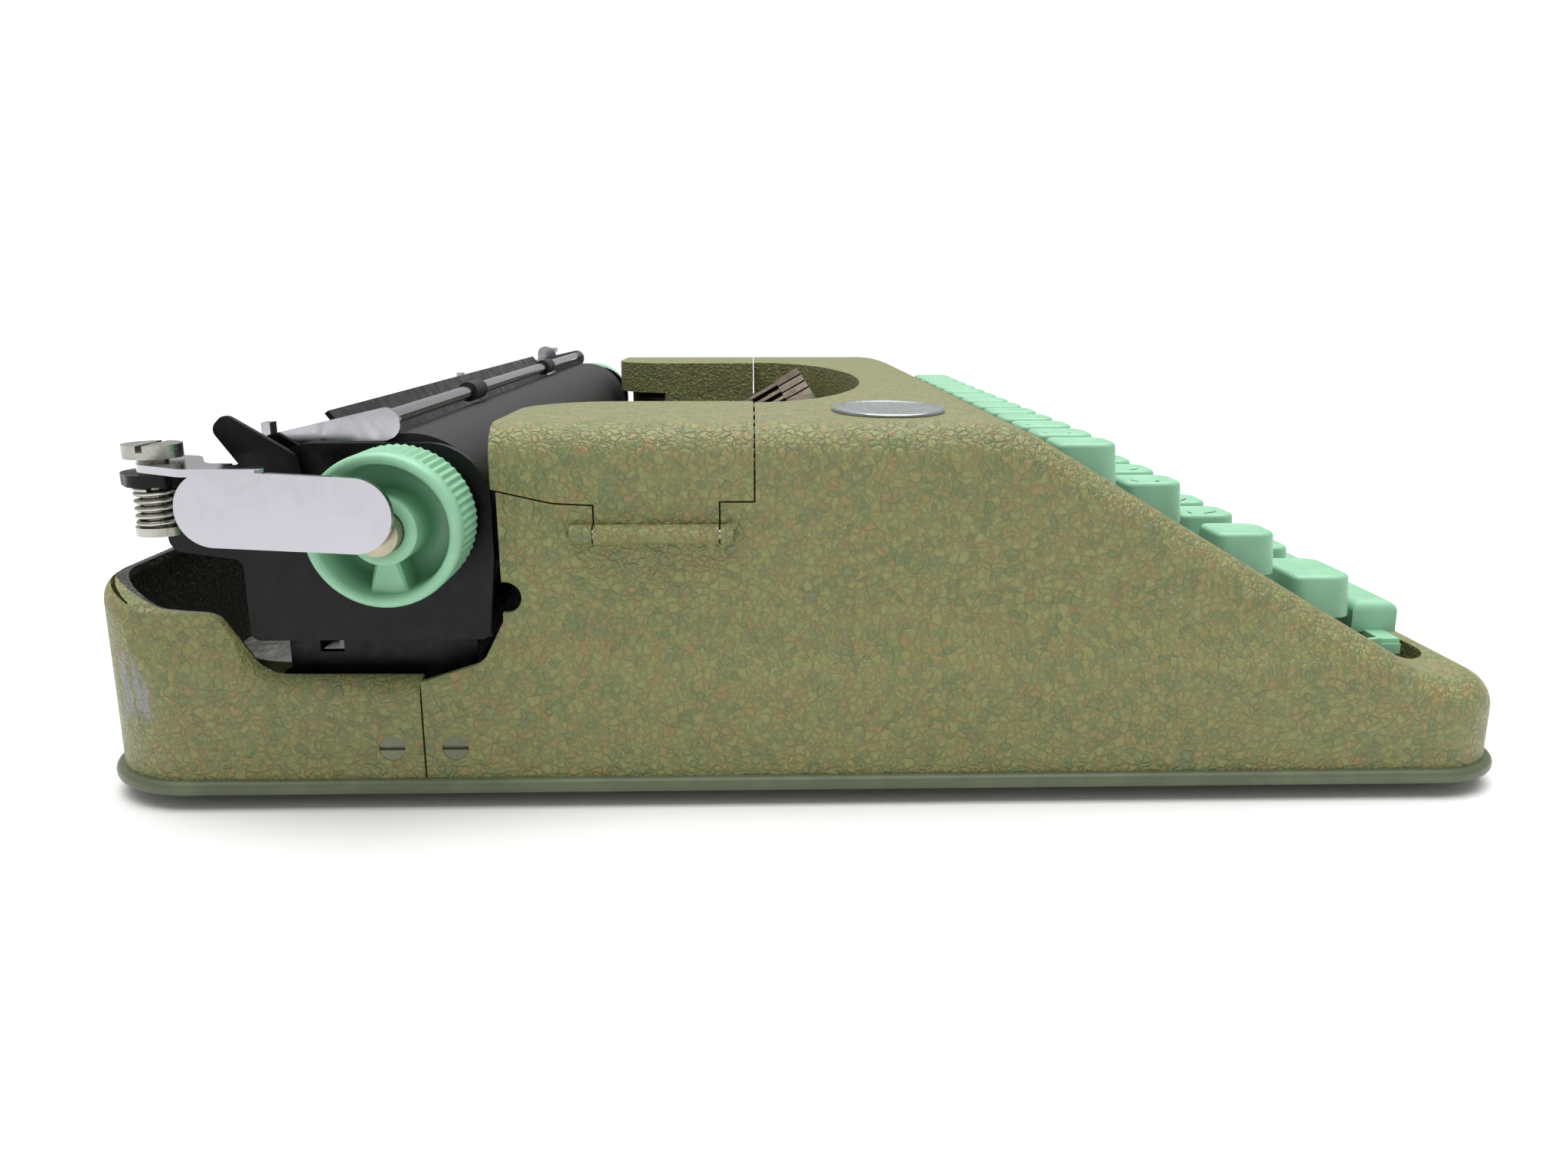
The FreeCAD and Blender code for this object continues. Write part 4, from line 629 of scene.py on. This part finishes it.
def make_piece(name, parts, finish, body, replaced=(), sharp_deg=40):
    """Millimetre parts become one mesh object in metres, which rides on its body."""
    points, faces = joined(parts)
    mesh = bpy.data.meshes.new(name)
    mesh.from_pydata((points * MM).tolist(), [], faces)
    mesh.shade_smooth()
    mesh.set_sharp_from_angle(angle=math.radians(sharp_deg))
    mesh.materials.append(finish)
    piece = bpy.data.objects.new(name, mesh)
    scene.collection.objects.link(piece)
    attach(piece, body)
    if replaced:
        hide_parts(*replaced)
    print(name, len(faces), "faces")
    return piece


# %% [markdown]
# ## Key caps
# A cap is a moulded cup with a rounded-square plan: wide rounding at the typist's side, tight
# at the back. Its walls draw in a little towards the top, its top edge is softened, and the
# top is dished so that a fingertip finds the middle. The plan is a loop of points; a cap is
# that loop carried up the wall, over the edge and inwards across the dish.

# %% The cap as a surface
CAP = {"width": 14.2, "depth": 14.2, "height": 9.5}
DISH_MM = 0.9
EDGE_MM = 1.1
DRAFT_MM = 0.55
FRONT_R, REAR_R = 4.5, 2.5
AROUND = 56


def rounded_loop(width, depth, front_r, rear_r, inset, count):
    """Rounded rectangle drawn in by inset: count points at equal steps of its length."""
    half_w, half_d = width / 2 - inset, depth / 2 - inset
    corners = [(1, -1, front_r, -90), (1, 1, rear_r, 0), (-1, 1, rear_r, 90),
               (-1, -1, front_r, 180)]
    turns = np.radians(np.linspace(0, 90, 13))
    arcs = []
    for sign_x, sign_y, radius, first in corners:
        r = max(radius - inset, 0.15 * radius)
        r = min(r, half_w, half_d)
        angle = math.radians(first) + turns
        arcs.append(np.stack([sign_x * (half_w - r) + r * np.cos(angle),
                              sign_y * (half_d - r) + r * np.sin(angle)], -1))
    line = np.concatenate(arcs + [arcs[0][:1]])
    length = np.concatenate([[0], np.cumsum(np.linalg.norm(np.diff(line, axis=0), axis=1))])
    steps = np.linspace(0, length[-1], count, endpoint=False)
    return np.stack([np.interp(steps, length, line[:, k]) for k in (0, 1)], -1)


def dish(x, y, half_w, half_d, depth):
    """Height below the rim: depth times (1 - u^2)(1 - v^2), u and v across and along the top."""
    u, v = np.clip(x / half_w, -1, 1), np.clip(y / half_d, -1, 1)
    return -depth * (1 - u ** 2) * (1 - v ** 2)


def cap_surface(x, y, top_z, width=CAP["width"]):
    """Wall: loop drawn in linearly; edge: a quarter circle; top: loops shrinking inwards."""
    wall = [(0.35, 0.0), (0.0, 0.35), (0.05, 1.4), (DRAFT_MM, CAP["height"] - EDGE_MM)]
    turn = np.radians(np.linspace(15, 90, 6))
    edge = [(DRAFT_MM + EDGE_MM * (1 - math.cos(t)),
             CAP["height"] - EDGE_MM * (1 - math.sin(t))) for t in turn]
    rings = [rounded_loop(width, CAP["depth"], FRONT_R, REAR_R, inset, AROUND)
             for inset, _ in wall + edge]
    heights = [np.full(AROUND, h) for _, h in wall + edge]
    rim = rings[-1]
    half_w, half_d = np.abs(rim[:, 0]).max(), np.abs(rim[:, 1]).max()
    for share in np.linspace(0.93, 0.06, 11):
        loop = rim * share
        rings.append(loop)
        heights.append(CAP["height"] + dish(loop[:, 0], loop[:, 1], half_w, half_d, DISH_MM))
    plan = np.array(rings)
    solid = np.concatenate([plan, np.array(heights)[..., None]], -1)
    return skin(solid + np.array([x, y, top_z - CAP["height"]]))


# %% [markdown]
# ## Key places
# Four rows step down towards the typist, and each row is shifted a little against the next.
# The numbers are the design's own pitches.

# %% Rows
PITCH = 18.4
ROWS = {
    # row: first key in pitches from the middle, number of keys, Y, Z of the key tops
    "number_row": (-5.0, 11, -59.4, 70.5),
    "upper_row": (-5.5, 12, -77.3, 60.8),
    "home_row": (-4.75, 11, -95.2, 51.1),
    "lower_row": (-4.25, 10, -113.1, 41.4),
}
TYPING_KEY = 5       # the home row key whose typebar is seen at work


def row_xs(row):
    first, count = ROWS[row][:2]
    return (first + np.arange(count)) * PITCH


for row, (_, _, y, top_z) in ROWS.items():
    xs = row_xs(row)
    if row == "home_row":
        xs = np.delete(xs, TYPING_KEY)
    make_piece(row + "_caps", [cap_surface(x, y, top_z) for x in xs], MINT, row,
               [row + "_keys"])

# %% [markdown]
# ## Keys with their own lever
# Backspace, margin release, shift keys and shift lock are one working piece each in the
# frame: cap and lever together. Here the cap is drawn again as a dished moulding, and the
# lever as a flat steel blank: its outline is a loop in the side view, and the blank is that
# loop carried across its thickness.

# %% Lever blank
LEVER_PIVOT_Y, LEVER_PIVOT_Z = 70.0, 11.5
BLANK_MM = 1.2
BLANK_HALF = 2.0
EYE_R, STEM_HALF = 4.2, 2.2
LEVEL_BEHIND_Y, CLIMB = 10.0, 0.11


def lever_rise(y):
    """Height of the lever's middle line: level behind one place, climbing in front of it."""
    return LEVER_PIVOT_Z + max(0.0, (LEVEL_BEHIND_Y - y) * CLIMB)


def plate_across_x(loop, x0, x1, soft=0.15):
    """Side-view loop (Y, Z) carried from x0 to x1, with its rims drawn in by soft."""
    loop = np.array(loop, float)
    middle = loop.mean(0)
    ways = np.sign(loop - middle)
    rings = []
    for x, inset in ((x0, soft), (x0 + soft, 0.0), (x1 - soft, 0.0), (x1, soft)):
        yz = loop - ways * inset
        rings.append(np.concatenate([np.full((len(loop), 1), x), yz], -1))
    return skin(np.array(rings))


def lever_blank(x, y, top_z):
    """Outline: round the eye, along the bar, up the stem at y to top_z and back."""
    eye = [(LEVER_PIVOT_Y + EYE_R * math.cos(t), LEVER_PIVOT_Z + EYE_R * math.sin(t))
           for t in np.radians(np.linspace(-152, 152, 15))]
    rear_y, front_y = y + STEM_HALF, y - STEM_HALF
    top = [(LEVEL_BEHIND_Y, LEVER_PIVOT_Z + BLANK_HALF),
           (rear_y, lever_rise(rear_y) + BLANK_HALF), (rear_y, top_z), (front_y, top_z),
           (front_y, lever_rise(front_y) - BLANK_HALF),
           (LEVEL_BEHIND_Y, LEVER_PIVOT_Z - BLANK_HALF)]
    return plate_across_x(eye + top, x - BLANK_MM / 2, x + BLANK_MM / 2, 0.0)


# %% Special keys
EDGE_X = 6 * PITCH
TYPING_X = float(row_xs("home_row")[TYPING_KEY])
SPECIAL = [
    # node, body, cap X, row, cap width, lever X
    ("backspace_key", "backspace", EDGE_X, "number_row", 14.2, EDGE_X),
    ("margin_release_key", "margin_release", -EDGE_X, "number_row", 14.2, -EDGE_X + 4.4),
    ("shift_lock_key", "shift_lock", -EDGE_X, "home_row", 14.2, -EDGE_X),
    ("shift_key_left", "left_shift", -106.5, "lower_row", 21.0, -114.5),
    ("shift_key_right", "right_shift", 106.5, "lower_row", 21.0, 114.5),
    ("typing_key", "typing_key", TYPING_X, "home_row", 14.2, TYPING_X),
]
for node_name, body, x, row, width, lever_x in SPECIAL:
    y, top_z = ROWS[row][2:]
    make_piece(node_name + "_cap", [cap_surface(x, y, top_z, width)], MINT, body,
               [node_name])
    parts = [lever_blank(lever_x, y, top_z - CAP["height"] + 0.2)]
    if node_name == "shift_lock_key":
        parts = [lever_blank(lever_x, y, top_z - 12), plate_across_x(
            [(y - 4, top_z - 15.5), (y + 4, top_z - 15.5), (y + 4, top_z - 9.4),
             (y - 4, top_z - 9.4)], x - 5, x + 5)]
    make_piece(node_name + "_lever", parts, BRIGHT_STEEL, body, [node_name])

# %% [markdown]
# ## Marks on the keys
# Real caps carry moulded signs filled with dark paint. Plain strokes stand in for them here:
# an upright, a bar or a dot, in an order that repeats, two to a key, as a key carries two
# signs. Each stroke is a thin loop lying in the dish.

# %% Strokes
STROKES = [
    # middle X, middle Y, half length, half width, turn in degrees, in millimetres
    [(0.0, 2.4, 1.5, 0.32, 90), (0.0, -2.4, 1.5, 0.32, 0)],
    [(0.0, 2.4, 1.5, 0.32, 45), (0.0, -2.4, 0.5, 0.45, 0)],
    [(0.0, 2.4, 1.4, 0.32, 0), (0.0, -2.4, 1.5, 0.32, 90)],
    [(0.0, 2.4, 0.5, 0.45, 0), (0.0, -2.4, 1.5, 0.32, -45)],
]
STROKE_RISE, STROKE_SUNK = 0.05, 0.08


def stroke(key_x, key_y, top_z, mark):
    """A flat lozenge of 10 points laid on the dish, carried up by its paint's thickness."""
    x, y, half_length, half_width, turn = mark
    angle = np.radians(np.arange(0, 360, 36))
    along = half_length * np.cos(angle)
    across = half_width * np.sign(np.sin(angle)) * np.abs(np.sin(angle)) ** 0.5
    t = math.radians(turn)
    px = x + along * math.cos(t) - across * math.sin(t)
    py = y + along * math.sin(t) + across * math.cos(t)
    half = CAP["width"] / 2 - DRAFT_MM - EDGE_MM
    low = dish(px, py, half, half, DISH_MM)
    rings = [np.stack([px + key_x, py + key_y, top_z + low + rise], -1)
             for rise in (-STROKE_SUNK, STROKE_RISE)]
    return skin(np.array(rings))


for number, (row, (_, _, y, top_z)) in enumerate(ROWS.items()):
    parts = []
    for i, x in enumerate(row_xs(row)):
        if row == "home_row" and i == TYPING_KEY:
            continue
        parts += [stroke(x, y, top_z, mark) for mark in STROKES[(i + number) % 4]]
    make_piece(row + "_marks", parts, LEGEND_INK, row)
y, top_z = ROWS["home_row"][2:]
make_piece("typing_key_marks", [stroke(TYPING_X, y, top_z, mark) for mark in STROKES[1]],
           LEGEND_INK, "typing_key")

# %% [markdown]
# ## Platen knobs
# Each knob is a moulded cup, open outwards, with fine ribs round the grip and a smooth rolled
# rim. Its section is a loop of (distance along the shaft, radius) points. The loop is carried
# round the shaft, and on the grip the radius swings by a cosine, sixty ribs to a turn.

# %% Knob section
PLATEN_Y, PLATEN_Z = 79.0, 59.0
RIBS = 60
KNOB_SECTION = np.array([
    # along the shaft from the open end, radius, share of rib depth
    (0.0, 13.3, 0), (0.25, 13.9, 0), (0.8, 14.3, 0), (1.6, 14.4, 0), (3.2, 14.4, 0),
    (3.8, 14.4, 0.6), (4.4, 14.4, 1), (8.0, 14.4, 1), (12.0, 14.4, 1), (14.2, 14.4, 1),
    (14.8, 14.3, 0.6), (15.5, 13.9, 0), (16.0, 13.2, 0), (16.0, 4.0, 0), (2.0, 4.0, 0),
    (0.9, 4.1, 0), (0.6, 4.6, 0), (0.6, 5.9, 0), (0.9, 6.4, 0), (2.0, 6.5, 0), (9.4, 6.7, 0),
    (10.6, 7.0, 0), (11.2, 7.6, 0), (11.4, 8.6, 0), (11.4, 10.2, 0), (11.0, 11.1, 0),
    (10.2, 11.7, 0), (8.0, 11.9, 0), (1.2, 12.2, 0), (0.4, 12.4, 0), (0.1, 12.8, 0),
])
RIB_MM = 0.5


def knob(open_x, inward):
    """Section point (a, r) at angle t: X = open end + a, radius r - depth (1 - cos 60 t) / 2."""
    turn = np.linspace(0, 2 * math.pi, RIBS * 6, endpoint=False)
    swing = (1 - np.cos(RIBS * turn)) / 2
    along, radius, ribbed = KNOB_SECTION.T
    r = radius[:, None] - RIB_MM * ribbed[:, None] * swing[None, :]
    x = np.broadcast_to((open_x + inward * along)[:, None], r.shape)
    rings = np.stack([x, PLATEN_Y + r * np.cos(turn), PLATEN_Z + r * np.sin(turn)], -1)
    return skin(rings, ring_path=True)


def knob_web(open_x, inward):
    """The flared web from hub to wall, as a tapering slab hanging down from the hub."""
    sides = [(-2.0, -5.5), (2.0, -5.5), (3.8, -12.6), (-3.8, -12.6)]
    loop = [(PLATEN_Y + a, PLATEN_Z + b) for a, b in sides]
    x0, x1 = sorted((open_x + inward * 2.6, open_x + inward * 12.4))
    return plate_across_x(loop, x0, x1, 0.5)


LEFT_OPEN_X, RIGHT_OPEN_X = -152.4, 155.4
make_piece("platen_knobs_moulded",
           [knob(LEFT_OPEN_X, 1), knob_web(LEFT_OPEN_X, 1),
            knob(RIGHT_OPEN_X, -1), knob_web(RIGHT_OPEN_X, -1)],
           MINT, "platen", ["platen_knobs"])

# %% [markdown]
# ## Return lever spring
# A spring of five turns pushes the return lever's screw up under its bracket. Its wire is a
# small circle carried along a helix, with the last half turns lying flat. A ring's own axes
# come from the helix: one points away from the spring's axis, and one is square to the wire.

# %% Helix
LEVER_X, LEVER_Y = -145.0, 121.5
COIL_LOW, COIL_HIGH, COIL_R, WIRE_R, TURNS = 59.9, 66.3, 3.7, 0.5, 5.5


def helix_spring():
    """Centre at angle t: radius R about the axis, rising smoothly, flat at both ends."""
    share = np.linspace(0, 1, 160)
    turn = share * TURNS * 2 * math.pi
    rise = np.clip((share - 0.08) / 0.84, 0, 1)
    centre = np.stack([LEVER_X + COIL_R * np.cos(turn), LEVER_Y + COIL_R * np.sin(turn),
                       COIL_LOW + (COIL_HIGH - COIL_LOW) * rise], -1)
    out = np.stack([np.cos(turn), np.sin(turn), np.zeros_like(turn)], -1)
    along = np.gradient(centre, axis=0)
    along /= np.linalg.norm(along, axis=1, keepdims=True)
    up = np.cross(out, along)
    angle = np.linspace(0, 2 * math.pi, 10, endpoint=False)
    wire = (out[:, None] * np.cos(angle)[None, :, None]
            + up[:, None] * np.sin(angle)[None, :, None]) * WIRE_R
    return skin(centre[:, None] + wire)


make_piece("lever_spring_wound", [helix_spring()], SCREW_STEEL, "carriage",
           ["lever_spring"])

# %% [markdown]
# ## Badge
# A small oval plate sits on the flat top, at the left. It is plain: a satin aluminium oval with
# a raised rim, pressed from sheet. Its rings are ovals that shrink towards the middle while
# the height follows the rim's section.

# %% Oval plate
BADGE_AT = (-109.0, -17.5)
BADGE_HALF = (17.5, 12.0)
badge_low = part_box("name_plate")[0]
BADGE_SECTION = np.array([
    # share of the half size, height over the plate's back
    (0.985, 0.0), (1.0, 0.12), (1.0, 0.5), (0.99, 0.68), (0.965, 0.78), (0.94, 0.76),
    (0.925, 0.6), (0.91, 0.5), (0.6, 0.52), (0.3, 0.54), (0.03, 0.545),
])


def badge():
    """Ring of share s and height h: centre + s (half width cos t, half depth sin t), plus h."""
    turn = np.linspace(0, 2 * math.pi, 96, endpoint=False)
    share, height = BADGE_SECTION.T
    x = BADGE_AT[0] + share[:, None] * BADGE_HALF[0] * np.cos(turn)
    y = BADGE_AT[1] + share[:, None] * BADGE_HALF[1] * np.sin(turn)
    z = np.broadcast_to(badge_low.z / MM + height[:, None], x.shape)
    return skin(np.stack([x, y, z], -1))


make_piece("badge_plate", [badge()], BADGE_METAL, "chassis", ["name_plate"])
